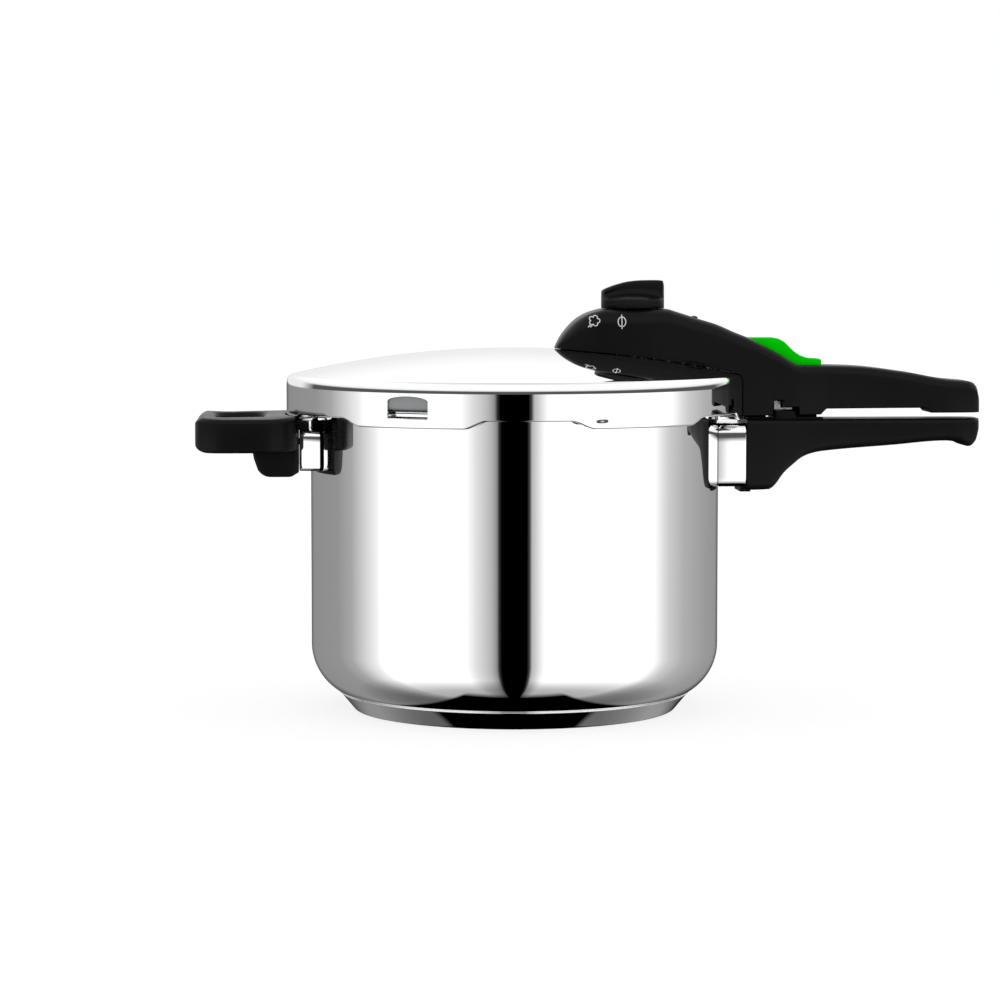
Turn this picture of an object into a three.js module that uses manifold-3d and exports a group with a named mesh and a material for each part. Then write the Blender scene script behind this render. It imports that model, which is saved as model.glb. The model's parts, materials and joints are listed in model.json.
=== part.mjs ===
// Stovetop pressure cooker: a polished pot, a domed lid on a six-tab bayonet, a two-part long handle with a
// pressure selector and a locking slider, and a helper handle.
// Millimetres, +Z up. The origin is on the pot's axis at the underside of the base, +X points along the long
// handle and -Y is the front.
import * as THREE from 'three';
import { mergeVertices } from 'three/addons/utils/BufferGeometryUtils.js';
import Module from 'manifold-3d';

// -------------------------------------------------------------------------------------------------
// Driving dimensions
// -------------------------------------------------------------------------------------------------

const SEAT_GAP = 0.3; // left between two pieces that touch
const RUN_GAP = 0.5; // left round a piece that moves
const BIG_SIDES = 60; // sides of the pot and the lid
const SMALL_SIDES = 16; // sides of a small turned piece
const WIRE_SIDES = 5;

const TABS = 6; // lugs on the pot, and tabs on the lid
const TAB_PITCH = 360 / TABS;

const POT = {
  innerRadius: 110,
  wall: 0.8,
  rimHeight: 167.5,
  cornerRadius: 29,
  baseHeight: 7, // underside of the drawn pot above the hob
  lugReach: 9.5, // how far a lug stands out of the inner wall
  lugHalfAngle: 13.5,
  neckReach: 2, // the rim between two lugs
  flange: 1.2,
  lipDepth: 4.1,
};

const BASE = {
  seamRadius: 95.3,
  contactRadius: 86.2,
  edge: 2, // rounded foot of the cup
  wall: 0.8,
};

const LID = {
  sideClearance: 13.1, // skirt's outer face out from the pot's outer wall
  wall: 1,
  apexHeight: 29, // above the pot's rim
  domeRise: 14,
  shoulderWidth: 2.4,
  shoulderDepth: 3.7,
  tabDepth: 9, // tab edge below the rim
  recessDepth: 4.2, // recess edge above the tab edge
  recessWide: 15.1, // half angle at the tab edge
  recessNarrow: 10.6, // half angle at the recess edge
  hookReach: 10.4,
  hookThickness: 2.2,
  hookHalfAngle: 12.5,
  windowAngle: 240,
  windowWidth: 23.4,
  windowSill: -4.1, // heights above the rim
  windowShoulder: 5,
  windowTop: 7.6,
};

const GASKET = { innerReach: -3, lip: 1.7, web: 5.5 };

const LONG_HANDLE = {
  jointGap: 0.6, // handle's root out from the skirt's outer face
  potTop: -9.5, // top face of the pot's handle, above the rim
  sleeveHalfWidth: 20,
  sleeveTop: -11.5,
  sleeveBottom: -46,
  sleeveWall: 1.2,
  boltHeight: -37.5,
  blockStart: 17.1,
  blockEnd: 28.7,
  blockHalfWidth: 14,
  blockTop: -4.8,
};

// Two rails close the gap between the handles: one on the pot's handle and, on the side the lid opens to, one
// on the cover.
const RAIL = { start: 2, end: 43.5, inner: 9, outer: 12.5, rise: 1.1 };

// Steel bracket on the wall behind each handle's root.
const BRACKET = { plate: 1.8, halfWidth: 14, bossHalfWidth: 7, bossHalfHeight: 6, screwDepth: 3 };

const HELPER = {
  reach: 48.6, // end of the handle out from the skirt's outer face
  halfWidth: 46.5,
  rootHalfWidth: 38,
  cornerRadius: 16,
  top: -6.5,
  bottom: -25.2,
  slotStart: 13.1,
  slotEnd: 38.1,
  slotHalfWidth: 30,
  slotCorner: 9,
  rootInset: 6.6, // root face inside the skirt's outer face
  shieldReach: 5.5, // ledge over the flame guard, towards the wall
  shieldHalfWidth: 29,
  bossHalfWidth: 36,
  sleeveHalfWidth: 33,
  sleeveTop: -14,
  sleeveBottom: -35.5,
  boltHeight: -21.5,
};

const SCREW = { shank: 2, head: 3.8, headHeight: 3 };

const COVER_WALL = 2.5;

// Valves stand in one row under the cover. Each place is measured in from the skirt's outer face.
const REGULATOR = { inset: 59.5, bodyRadius: 6.5, flangeRadius: 9, shankRadius: 5, bore: 2.2, chamber: 4.8 };
const SAFETY = { inset: 40.4, bodyRadius: 6, flangeRadius: 7.5, shankRadius: 4.6, bore: 1.8, chamber: 4.4 };
const INDICATOR = { inset: 25.9, bodyRadius: 4.6, flangeRadius: 6, shankRadius: 4, pinRadius: 1.6, rise: 5 };
const FRONT_SCREW = { inset: 82.4, bossRadius: 4.5, height: 9 };
const REAR_SCREW = { outset: 7.1, seat: -3 };
const SAFETY_VENT = { start: -32, end: -22, bottom: 5, rise: 2.2 };
const NUT_DEPTH = 6; // below the dome's outside

const KNOB = {
  radius: 17.15,
  seat: 50.3, // cover's flat under the knob, above the rim
  ringHeight: 4.9,
  finHalfWidth: 6,
  stemRadius: 4.5,
  camRadius: 6.5,
};

// Plate let into the cover's grip from below.
const GRIP = { start: 48, end: 98.5, halfWidth: 9.5, height: -3.2, thickness: 2.5, corner: 4, pocketTop: 9 };

const SLIDER = { halfWidth: 9, travel: 8, postHalfWidth: 3, postStart: 34.1, postEnd: 40.1 };
const BOLT = { tip: 24.6, halfWidth: 3.4, bottom: -2.2, thickness: 2.4, end: 42 };
const SLIDER_SCREW = { shank: 1, head: 2.4, headHeight: 1.2, reach: 9.5 };
const CATCH = { start: 17.4, end: 20.8, halfWidth: 8, slotHalfWidth: 4, top: 0, base: 1, screwOffset: 5 };
const CATCH_SCREW = { shank: 0.8, head: 1.8, headHeight: 0.5 };

// Side views of the long handle: distance out from the skirt's outer face, and height above the pot's rim.
const COVER_TOP = [
  [-102.4, 28.5], [-98.9, 35], [-93.7, 41.5],
  [-88.6, 45.7], [-83.9, 48.1], [-79.1, 49.6], [-76.4, KNOB.seat],
  [-42.1, KNOB.seat], [-33.5, 47.8], [-25.2, 45.1], [-15.6, 42.2], [-5.4, 37.8], [3.3, 34.3], [11.7, 30],
  [21.7, 24.5], [28.8, 19.9], [42.1, 19.7], [60.6, 19.2],
  [89.9, 15.8], [111.3, 12], [124.1, 10.8], [128.1, 8.9],
  [130.3, 4],
];
const COVER_BOTTOM = [
  [-102.4, 10], [-30, 10], [-25, -7.9], [42.3, -7],
  [44.9, -3.9], [100.4, -3.6], [103, -6.3], [130.3, -6.3],
];
const COVER_HALF_WIDTH = [
  [-102.4, 1], [-101, 7], [-98.9, 10.5], [-93.7, 15], [-88.6, 17.8], [-79.1, 20.4], [-68, 21], [-54, 21],
  [-34, 20], [-14, 19], [1, 18.5], [26, 17.5], [46, 15], [76, 14], [111, 14.5], [124.1, 13], [128.1, 11],
  [130.3, 8],
];
const COVER_ROUNDING = [[-102.4, 0.5], [-93.7, 6], [-76.4, 7], [-42.1, 7], [-5.4, 6], [28.8, 5], [130.3, 5]];

const POT_HANDLE_BOTTOM = [
  [1.1, -47.5], [15.5, -47], [18.5, -43.6], [21.7, -39.2],
  [27, -34.4], [32.8, -30.1], [38, -28.2], [43.7, -27.1],
  [82, -24], [111.6, -21.7], [118, -22.5], [124.1, -24.8], [128.1, -22.6], [130, -19],
];
const POT_HANDLE_HALF_WIDTH = [
  [1.1, 20], [15.5, 18.5], [36, 15.5], [76, 14], [116, 14.5], [128.1, 12.5], [130, 9],
];

const SLIDER_SIDE = [
  [-0.6, 34.5], [19.1, 34.5], [23, 33], [26, 30], [29.6, 26.5], [33.1, 24.3], [37.9, 23.2], [43, 23],
  [43, 17.4], [26, 17.4], [-0.6, 27.5],
];
const BRACKET_HALF_WIDTH = 9;
const BRACKET_SIDE = [[-18, 21.1], [-2, 17.1], [14, 16.1], [14, 13.7], [-18, 13.7]];

const STEEL = { color: 0xc9ccd0, roughness: 0.08, metalness: 1 };
const BRUSHED = { color: 0xa9adb2, roughness: 0.35, metalness: 1 };
const ALUMINIUM = { color: 0xb9bcc0, roughness: 0.45, metalness: 1 };
const BRASS = { color: 0xb08d4a, roughness: 0.35, metalness: 1 };
const BLACK = { color: 0x141414, roughness: 0.45, metalness: 0 };
const GREEN = { color: 0x00b400, roughness: 0.4, metalness: 0 };
const RUBBER = { color: 0x8a8d90, roughness: 0.7, metalness: 0 };
const RED = { color: 0xb3231c, roughness: 0.5, metalness: 0 };

// -------------------------------------------------------------------------------------------------
// Sizes that follow
// -------------------------------------------------------------------------------------------------

const POT_RADIUS = POT.innerRadius + POT.wall;
const LUG_RADIUS = POT.innerRadius + POT.lugReach;
const RIM = POT.rimHeight;
const LID_RADIUS = POT_RADIUS + LID.sideClearance;
const DOME_EDGE = LID_RADIUS - LID.shoulderWidth;
const APEX = RIM + LID.apexHeight;
const SHOULDER = APEX - LID.domeRise - LID.shoulderDepth;
const TAB_EDGE = RIM - LID.tabDepth;

const degrees = (angle) => (angle * Math.PI) / 180;
const domeHeight = (radius) => APEX - LID.domeRise * (radius / DOME_EDGE) ** 2;
const outward = (distance) => LID_RADIUS + distance;
const above = (height) => RIM + height;
const placed = (outline) => outline.map(([out, up]) => [outward(out), above(up)]);

// -------------------------------------------------------------------------------------------------
// Solid modelling
// -------------------------------------------------------------------------------------------------

const wasm = await Module();
wasm.setup();

function toSolid(geometry) {
  const loose = geometry.index ? geometry.toNonIndexed() : geometry;
  const bare = new THREE.BufferGeometry().setAttribute('position', loose.getAttribute('position'));
  const merged = mergeVertices(bare, 1e-4);
  const corners = [];
  for (let i = 0; i < merged.index.count; i += 3) {
    const [a, b, c] = [0, 1, 2].map((step) => merged.index.getX(i + step));
    if (a !== b && b !== c && c !== a) corners.push(a, b, c);
  }
  const vertProperties = merged.attributes.position.array;
  return new wasm.Manifold(new wasm.Mesh({ numProp: 3, vertProperties, triVerts: new Uint32Array(corners) }));
}

function toGeometry(solid) {
  const { vertProperties, triVerts } = solid.getMesh();
  const indexed = new THREE.BufferGeometry();
  indexed.setAttribute('position', new THREE.BufferAttribute(vertProperties, 3));
  indexed.setIndex(new THREE.BufferAttribute(triVerts, 1));
  const faceted = indexed.toNonIndexed();
  faceted.computeVertexNormals();
  return faceted;
}

const cut = (blank, ...tools) =>
  toGeometry(tools.reduce((solid, tool) => solid.subtract(toSolid(tool)), toSolid(blank)));
const join = (first, ...rest) =>
  toGeometry(rest.reduce((solid, piece) => solid.add(toSolid(piece)), toSolid(first)));
const common = (first, second) => toGeometry(toSolid(first).intersect(toSolid(second)));

const area = (outline) =>
  outline.reduce((sum, [a, b], i) => {
    const [c, d] = outline[(i + 1) % outline.length];
    return sum + (a * d - c * b) / 2;
  }, 0);

// A profile of [radius, height] points turned about +Z. One that leaves the axis closes on itself.
function turned(profile, sides = SMALL_SIDES) {
  const points = area(profile) < 0 ? [...profile].reverse() : [...profile];
  if (points[0][0] > 0) points.push(points[0]);
  const outline = points.map(([radius, height]) => new THREE.Vector2(radius, height));
  return new THREE.LatheGeometry(outline, sides).rotateX(Math.PI / 2);
}

const rod = (radius, from, to, sides) => turned([[0, from], [radius, from], [radius, to], [0, to]], sides);
const tube = (inner, outer, from, to, sides) =>
  turned([[inner, from], [outer, from], [outer, to], [inner, to]], sides);
const rodAlongX = (radius, from, to) => rod(radius, from, to).rotateY(Math.PI / 2);
const hexRod = (radius, from, to) => rod(radius, from, to, 6);

// Corners of an outline rounded to one radius.
function roundedShape(outline, radius = 0) {
  const shape = new THREE.Shape();
  outline.forEach(([x, y], i) => {
    const corner = new THREE.Vector2(x, y);
    const before = new THREE.Vector2(...outline[(i + outline.length - 1) % outline.length]);
    const after = new THREE.Vector2(...outline[(i + 1) % outline.length]);
    const reach = (other) => Math.min(radius, corner.distanceTo(other) / 2.01);
    const start = corner.clone().lerp(before, reach(before) / corner.distanceTo(before));
    const end = corner.clone().lerp(after, reach(after) / corner.distanceTo(after));
    if (i === 0) shape.moveTo(start.x, start.y);
    else shape.lineTo(start.x, start.y);
    if (radius > 0) shape.quadraticCurveTo(x, y, end.x, end.y);
  });
  shape.closePath();
  return shape;
}

function extruded(outline, depth, radius) {
  const shape = roundedShape(outline, radius);
  return new THREE.ExtrudeGeometry(shape, { depth, bevelEnabled: false, curveSegments: 4 });
}

// Outlines pushed along one axis: [x, y] along Z, [x, z] along Y and [y, z] along X.
const alongZ = (outline, from, to, radius) => extruded(outline, to - from, radius).translate(0, 0, from);
const alongY = (outline, from, to, radius) =>
  extruded(outline, to - from, radius).rotateX(Math.PI / 2).translate(0, to, 0);
function alongX(outline, from, to, radius) {
  const turn = new THREE.Matrix4().makeBasis(
    new THREE.Vector3(0, 1, 0),
    new THREE.Vector3(0, 0, 1),
    new THREE.Vector3(1, 0, 0),
  );
  return extruded(outline, to - from, radius).applyMatrix4(turn).translate(from, 0, 0);
}

const rectangle = (left, right, low, high) => [[left, low], [right, low], [right, high], [left, high]];
const block = (x0, x1, y0, y1, z0, z1) => alongZ(rectangle(x0, x1, y0, y1), z0, z1);

// A ring sector seen from above, in degrees.
function sector(inner, outer, from, to, low, high) {
  const steps = Math.ceil((to - from) / 3);
  const angles = Array.from({ length: steps + 1 }, (_, i) => degrees(from + ((to - from) * i) / steps));
  const arc = (radius) => angles.map((angle) => [radius * Math.cos(angle), radius * Math.sin(angle)]);
  return alongZ([...arc(outer), ...arc(inner).reverse()], low, high);
}

const ringOf = (count, first, make) => {
  const pieces = Array.from({ length: count }, (_, i) => make(first + (i * 360) / count));
  return join(...pieces);
};

// Value of a list of [place, value] points at one place.
function valueAt(points, place) {
  const next = points.findIndex(([x]) => x >= place);
  if (next <= 0) return points[next < 0 ? points.length - 1 : 0][1];
  const [[x0, y0], [x1, y1]] = [points[next - 1], points[next]];
  return y0 + ((y1 - y0) * (place - x0)) / (x1 - x0);
}

// Box section seen from +X with its corners rounded, anticlockwise.
function boxSection(halfWidth, low, high, lowRadius, highRadius) {
  const limit = Math.min(halfWidth, (high - low) / 2) * 0.95;
  const corner = (side, height, vertical, wanted, first) => {
    const radius = Math.min(wanted, limit);
    const steps = 3;
    return Array.from({ length: steps + 1 }, (_, i) => {
      const angle = degrees(first + (90 * i) / steps);
      const y = side * (halfWidth - radius) + radius * Math.cos(angle);
      return [y, height - vertical * radius + radius * Math.sin(angle)];
    });
  };
  return [
    ...corner(-1, low, -1, lowRadius, 180),
    ...corner(1, low, -1, lowRadius, 270),
    ...corner(1, high, 1, highRadius, 0),
    ...corner(-1, high, 1, highRadius, 90),
  ];
}

// Skin over sections at rising x, closed by flat ends.
function loft(stations) {
  const count = stations[0].section.length;
  const points = stations.flatMap(({ x, section }) => section.map(([y, z]) => [x, y, z])).flat();
  const index = [];
  for (let i = 0; i < stations.length - 1; i += 1) {
    for (let j = 0; j < count; j += 1) {
      const a = i * count + j;
      const b = i * count + ((j + 1) % count);
      index.push(a, b, b + count, a, b + count, a + count);
    }
  }
  const last = (stations.length - 1) * count;
  for (let j = 1; j < count - 1; j += 1) {
    index.push(0, j + 1, j);
    index.push(last, last + j, last + j + 1);
  }
  const geometry = new THREE.BufferGeometry();
  geometry.setAttribute('position', new THREE.Float32BufferAttribute(points, 3));
  return geometry.setIndex(index);
}

function helix(radius, wire, from, to, turns) {
  const path = new THREE.Curve();
  path.getPoint = (t, target = new THREE.Vector3()) => {
    const angle = t * turns * 2 * Math.PI;
    const height = from + wire + (to - from - 2 * wire) * t;
    return target.set(radius * Math.cos(angle), radius * Math.sin(angle), height);
  };
  const round = new THREE.Shape();
  Array.from({ length: WIRE_SIDES }, (_, i) => (i * 2 * Math.PI) / WIRE_SIDES).forEach((angle, i) => {
    const [x, y] = [wire * Math.cos(angle), wire * Math.sin(angle)];
    if (i === 0) round.moveTo(x, y);
    else round.lineTo(x, y);
  });
  return new THREE.ExtrudeGeometry(round, { steps: turns * 10, extrudePath: path });
}

// -------------------------------------------------------------------------------------------------
// Pot
// -------------------------------------------------------------------------------------------------

// Corner of the pot drawn inside or outside the wall.
function potCorner(radius, floor) {
  const steps = 7;
  const centre = POT_RADIUS - POT.cornerRadius;
  return Array.from({ length: steps + 1 }, (_, i) => {
    const angle = degrees((90 * i) / steps);
    return [centre + radius * Math.sin(angle), floor + radius * (1 - Math.cos(angle))];
  });
}

// Underside of the pot's rounded corner.
function undersideHeight(radius) {
  const centre = POT_RADIUS - POT.cornerRadius;
  const across = Math.max(0, radius - centre);
  return POT.baseHeight + POT.cornerRadius - Math.sqrt(POT.cornerRadius ** 2 - across ** 2);
}

function potShell() {
  const lip = LUG_RADIUS - POT.flange;
  const blank = turned(
    [
      [0, POT.baseHeight],
      ...potCorner(POT.cornerRadius, POT.baseHeight),
      [POT_RADIUS, RIM - POT.flange],
      [lip, RIM - POT.flange],
      [lip, RIM - POT.lipDepth],
      [LUG_RADIUS, RIM - POT.lipDepth],
      [LUG_RADIUS, RIM],
      [POT.innerRadius, RIM],
      ...potCorner(POT.cornerRadius - POT.wall, POT.baseHeight + POT.wall).reverse(),
      [0, POT.baseHeight + POT.wall],
    ],
    BIG_SIDES,
  );
  const gaps = ringOf(TABS, TAB_PITCH / 2, (angle) => {
    const half = TAB_PITCH / 2 - POT.lugHalfAngle;
    const low = RIM - POT.lipDepth - 1;
    return sector(POT.innerRadius + POT.neckReach, LUG_RADIUS + 1, angle - half, angle + half, low, RIM + 1);
  });
  return cut(blank, gaps);
}

// The cup's wall leans from the rounded foot out to the seam on the pot.
function baseCup() {
  const lean = BASE.wall * 1.4;
  const seam = undersideHeight(BASE.seamRadius) - SEAT_GAP;
  const innerSeamRadius = BASE.seamRadius - lean;
  const foot = BASE.contactRadius + BASE.edge;
  return turned(
    [
      [0, 0],
      [BASE.contactRadius, 0],
      [BASE.contactRadius + BASE.edge * 0.7, BASE.edge * 0.3],
      [foot, BASE.edge],
      [BASE.seamRadius, seam],
      [innerSeamRadius, undersideHeight(innerSeamRadius) - 1.4 * SEAT_GAP],
      [foot - BASE.wall, BASE.edge],
      [BASE.contactRadius, BASE.wall],
      [0, BASE.wall],
    ],
    BIG_SIDES,
  );
}

function baseCore() {
  const low = BASE.wall + SEAT_GAP;
  const high = POT.baseHeight - SEAT_GAP;
  const outline = [[0, low], [BASE.contactRadius - 1, low], [BASE.contactRadius + 1.5, high], [0, high]];
  return turned(outline, BIG_SIDES);
}

// Plate that lies on the wall, with a block for the handle's screw. It is made on +X.
function wallBracket(low, high, boltHeight, root) {
  const inner = POT_RADIUS + SEAT_GAP;
  const { plate: thickness, halfWidth, bossHalfWidth, bossHalfHeight, screwDepth } = BRACKET;
  const ring = tube(inner, inner + thickness, low, high, BIG_SIDES);
  const plate = common(ring, block(0, LID_RADIUS, -halfWidth, halfWidth, low - 1, high + 1));
  const [bossLow, bossHigh] = [boltHeight - bossHalfHeight, boltHeight + bossHalfHeight];
  const boss = block(POT_RADIUS + 1, root - RUN_GAP, -bossHalfWidth, bossHalfWidth, bossLow, bossHigh);
  const boreStart = POT_RADIUS + screwDepth - SEAT_GAP;
  const bore = rodAlongX(SCREW.shank + SEAT_GAP, boreStart, root).translate(0, 0, boltHeight);
  return cut(join(plate, boss), bore);
}

// Flame guard: a hollow section between the wall and the handle's root. It is made on +X.
function flameGuard(halfWidth, low, high, end, rounding) {
  const wall = LONG_HANDLE.sleeveWall;
  const outer = alongX(rectangle(-halfWidth, halfWidth, low, high), 0, end, rounding);
  const hollow = rectangle(-halfWidth + wall, halfWidth - wall, low + wall, high - wall);
  const inner = alongX(hollow, -1, end + 1, rounding - wall);
  const pot = rod(POT_RADIUS + SEAT_GAP, low - 1, high + 1, BIG_SIDES);
  return cut(outer, inner, pot);
}

const longSleeve = () =>
  flameGuard(
    LONG_HANDLE.sleeveHalfWidth,
    above(LONG_HANDLE.sleeveBottom),
    above(LONG_HANDLE.sleeveTop),
    outward(LONG_HANDLE.jointGap),
    8,
  );

function headedScrewAlongX(from, to) {
  const shank = rodAlongX(SCREW.shank, from, to + SCREW.headHeight / 2);
  return join(shank, rodAlongX(SCREW.head, to, to + SCREW.headHeight));
}

const LONG_SCREW_SEAT = 13.5; // out from the skirt's outer face
const WALL_SCREW_START = POT_RADIUS + BRACKET.screwDepth;

const catchScrewPlace = outward((CATCH.start + CATCH.end) / 2 + CATCH.screwOffset);

function potHandle() {
  const top = above(LONG_HANDLE.potTop);
  const stations = POT_HANDLE_BOTTOM.map(([out, up]) => ({
    x: outward(out),
    section: boxSection(valueAt(POT_HANDLE_HALF_WIDTH, out), above(up), top, 5, 3),
  }));
  const boltHeight = above(LONG_HANDLE.boltHeight);
  const root = outward(POT_HANDLE_BOTTOM[0][0]);
  const sleeveBottom = above(LONG_HANDLE.sleeveBottom);
  const tongue = block(root - 8, root + 1, -13, 13, boltHeight + 8, above(LONG_HANDLE.sleeveTop) - 3);
  const lip = block(root - 2.6, root + 3, -12, 12, sleeveBottom - 3, sleeveBottom - SEAT_GAP);
  const start = outward(LONG_HANDLE.blockStart);
  const end = outward(LONG_HANDLE.blockEnd);
  const half = LONG_HANDLE.blockHalfWidth;
  const keeper = block(start, end, -half, half, top - 2, above(LONG_HANDLE.blockTop));
  const [railStart, railEnd] = [outward(RAIL.start), outward(RAIL.end)];
  const rail = block(railStart, railEnd, -RAIL.outer, -RAIL.inner, top - 1, top + RAIL.rise);
  const seat = outward(LONG_SCREW_SEAT) - SEAT_GAP;
  const shankHole = rodAlongX(SCREW.shank + SEAT_GAP, root - 10, seat + 1).translate(0, 0, boltHeight);
  const headHole = rodAlongX(SCREW.head + RUN_GAP, seat, seat + 30).translate(0, 0, boltHeight);
  const catchHole = rod(CATCH_SCREW.shank + SEAT_GAP, top, above(LONG_HANDLE.blockTop) + 1);
  const holes = [shankHole, headHole, catchHole.translate(catchScrewPlace, 0, 0)];
  return cut(join(loft(stations), tongue, lip, keeper, rail), ...holes);
}

// Steel catch: a foot screwed on the keeper block, with two cheeks that the bolt slides between.
function latchCatch() {
  const floor = above(LONG_HANDLE.blockTop) + SEAT_GAP;
  const half = CATCH.halfWidth;
  const cheeks = block(outward(CATCH.start), outward(CATCH.end), -half, half, floor, above(CATCH.top));
  const foot = block(outward(CATCH.start), catchScrewPlace + 3, -half, half, floor, floor + CATCH.base);
  const slotHalf = CATCH.slotHalfWidth;
  const slotFloor = floor + CATCH.base;
  const [slotStart, slotEnd] = [outward(CATCH.start) - 1, outward(CATCH.end) + 1];
  const slot = block(slotStart, slotEnd, -slotHalf, slotHalf, slotFloor, above(2));
  const screwHole = rod(CATCH_SCREW.shank + SEAT_GAP, floor - 1, slotFloor + 1);
  const hole = screwHole.translate(catchScrewPlace, 0, 0);
  return cut(join(cheeks, foot), slot, hole);
}

function catchScrew() {
  const floor = above(LONG_HANDLE.blockTop) + 2 * SEAT_GAP + CATCH.base;
  const shank = rod(CATCH_SCREW.shank, above(LONG_HANDLE.potTop) + 1, floor + CATCH_SCREW.headHeight / 2);
  const head = rod(CATCH_SCREW.head, floor, floor + CATCH_SCREW.headHeight);
  return join(shank, head).translate(catchScrewPlace, 0, 0);
}

const helperScrewSeat = outward(HELPER.slotStart) - SCREW.headHeight - 2;

// Helper handle, made on +X and turned half a turn when it is placed.
function helperHandle() {
  const [low, high] = [above(HELPER.bottom), above(HELPER.top)];
  const root = outward(-HELPER.rootInset);
  const wide = outward(2);
  const end = outward(HELPER.reach);
  const half = HELPER.halfWidth;
  const rootHalf = HELPER.rootHalfWidth;
  const plan = [[root, -rootHalf], [wide, -half], [end, -half], [end, half], [wide, half], [root, rootHalf]];
  const plate = alongZ(plan, low, high, HELPER.cornerRadius);
  const bossSide = [
    [root, above(HELPER.sleeveBottom) - 0.5],
    [root + 5.5, above(HELPER.sleeveBottom) - 3],
    [root + 15, above(HELPER.sleeveBottom) - 3],
    [root + 20.5, above(HELPER.sleeveBottom) + 0.5],
    [root + 24, above(HELPER.sleeveBottom) + 6],
    [root + 25, low + 2],
    [root, low + 2],
  ];
  const boss = alongY(bossSide, -HELPER.bossHalfWidth, HELPER.bossHalfWidth);
  const slotHalf = HELPER.slotHalfWidth;
  const slotPlan = rectangle(outward(HELPER.slotStart), outward(HELPER.slotEnd), -slotHalf, slotHalf);
  const slot = alongZ(slotPlan, low - 20, high + 1, HELPER.slotCorner);
  const lidSweep = rod(LID_RADIUS + 2 * RUN_GAP, TAB_EDGE - 2 * RUN_GAP, high + 1, BIG_SIDES);
  const boltHeight = above(HELPER.boltHeight);
  const seat = helperScrewSeat - SEAT_GAP;
  const shankHole = rodAlongX(SCREW.shank + SEAT_GAP, root - 1, seat + 1).translate(0, 0, boltHeight);
  const headHoleEnd = outward(HELPER.slotStart) + 4;
  const headHole = rodAlongX(SCREW.head + RUN_GAP, seat, headHoleEnd).translate(0, 0, boltHeight);
  const shieldHalf = HELPER.shieldHalfWidth;
  const [shieldLow, shieldHigh] = [above(HELPER.sleeveTop) + SEAT_GAP, TAB_EDGE - 2 * RUN_GAP];
  const shield = block(root - HELPER.shieldReach, root + 1, -shieldHalf, shieldHalf, shieldLow, shieldHigh);
  return cut(join(plate, boss, shield), slot, lidSweep, shankHole, headHole);
}

const helperSleeve = () =>
  flameGuard(
    HELPER.sleeveHalfWidth,
    above(HELPER.sleeveBottom),
    above(HELPER.sleeveTop),
    outward(-HELPER.rootInset) - SEAT_GAP,
    9,
  );

// -------------------------------------------------------------------------------------------------
// Lid
// -------------------------------------------------------------------------------------------------

// The lid's outer surface from its apex to its skirt, moved out by a distance.
function lidSurface(distance) {
  const rings = 7;
  const dome = Array.from({ length: rings }, (_, i) => {
    const radius = (DOME_EDGE * i) / rings;
    return [radius, domeHeight(radius) + distance];
  });
  const steps = 3;
  const shoulder = Array.from({ length: steps + 1 }, (_, i) => {
    const angle = degrees((90 * i) / steps);
    const across = (LID.shoulderWidth + distance) * Math.sin(angle);
    return [DOME_EDGE + across, SHOULDER + (LID.shoulderDepth + distance) * Math.cos(angle)];
  });
  return [...dome, ...shoulder];
}

const skirtCut = (angle, outline, inner) =>
  alongX(outline, inner, LID_RADIUS + 5).rotateZ(degrees(angle));

function lidShell() {
  const outer = lidSurface(0);
  const inner = lidSurface(-LID.wall).reverse();
  const skirt = [[LID_RADIUS, TAB_EDGE], [LID_RADIUS - LID.wall, TAB_EDGE]];
  const shell = turned([...outer, ...skirt, ...inner], BIG_SIDES);
  const hookTop = TAB_EDGE + LID.hookThickness;
  const hookTip = LID_RADIUS - LID.wall - LID.hookReach;
  const hookRing = tube(hookTip, LID_RADIUS - LID.wall / 2, TAB_EDGE, hookTop, BIG_SIDES);
  const hookGaps = ringOf(TABS, TAB_PITCH / 2, (angle) => {
    const half = TAB_PITCH / 2 - LID.hookHalfAngle;
    return sector(POT.innerRadius, LID_RADIUS + 1, angle - half, angle + half, TAB_EDGE - 1, hookTop + 1);
  });
  const recesses = ringOf(TABS, TAB_PITCH / 2, (angle) => {
    const wide = LID_RADIUS * Math.sin(degrees(LID.recessWide));
    const narrow = LID_RADIUS * Math.sin(degrees(LID.recessNarrow));
    const top = TAB_EDGE + LID.recessDepth;
    const outline = [[-wide, TAB_EDGE - 1], [wide, TAB_EDGE - 1], [narrow, top], [-narrow, top]];
    return skirtCut(angle, outline, POT.innerRadius);
  });
  const windowHalf = LID.windowWidth / 2;
  const windowOutline = [
    [-windowHalf, above(LID.windowSill)],
    [windowHalf, above(LID.windowSill)],
    [windowHalf, above(LID.windowShoulder)],
    [windowHalf / 2, above(LID.windowTop)],
    [-windowHalf / 2, above(LID.windowTop)],
    [-windowHalf, above(LID.windowShoulder)],
  ];
  const window = skirtCut(LID.windowAngle, windowOutline, LUG_RADIUS + 1);
  const hole = (radius, inset) => rod(radius + SEAT_GAP, SHOULDER, APEX + 1).translate(outward(-inset), 0, 0);
  const holes = [
    hole(REGULATOR.shankRadius, REGULATOR.inset),
    hole(SAFETY.shankRadius, SAFETY.inset),
    hole(INDICATOR.shankRadius, INDICATOR.inset),
    hole(SCREW.shank, FRONT_SCREW.inset),
  ];
  const skirted = cut(shell, recesses, window, ...holes);
  return join(skirted, cut(hookRing, hookGaps));
}

// Everything below the lid's outer surface, for trimming what stands on it.
const belowLid = (distance) =>
  turned([...lidSurface(distance), [LID_RADIUS + distance, TAB_EDGE - 30], [0, TAB_EDGE - 30]], BIG_SIDES);

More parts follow.
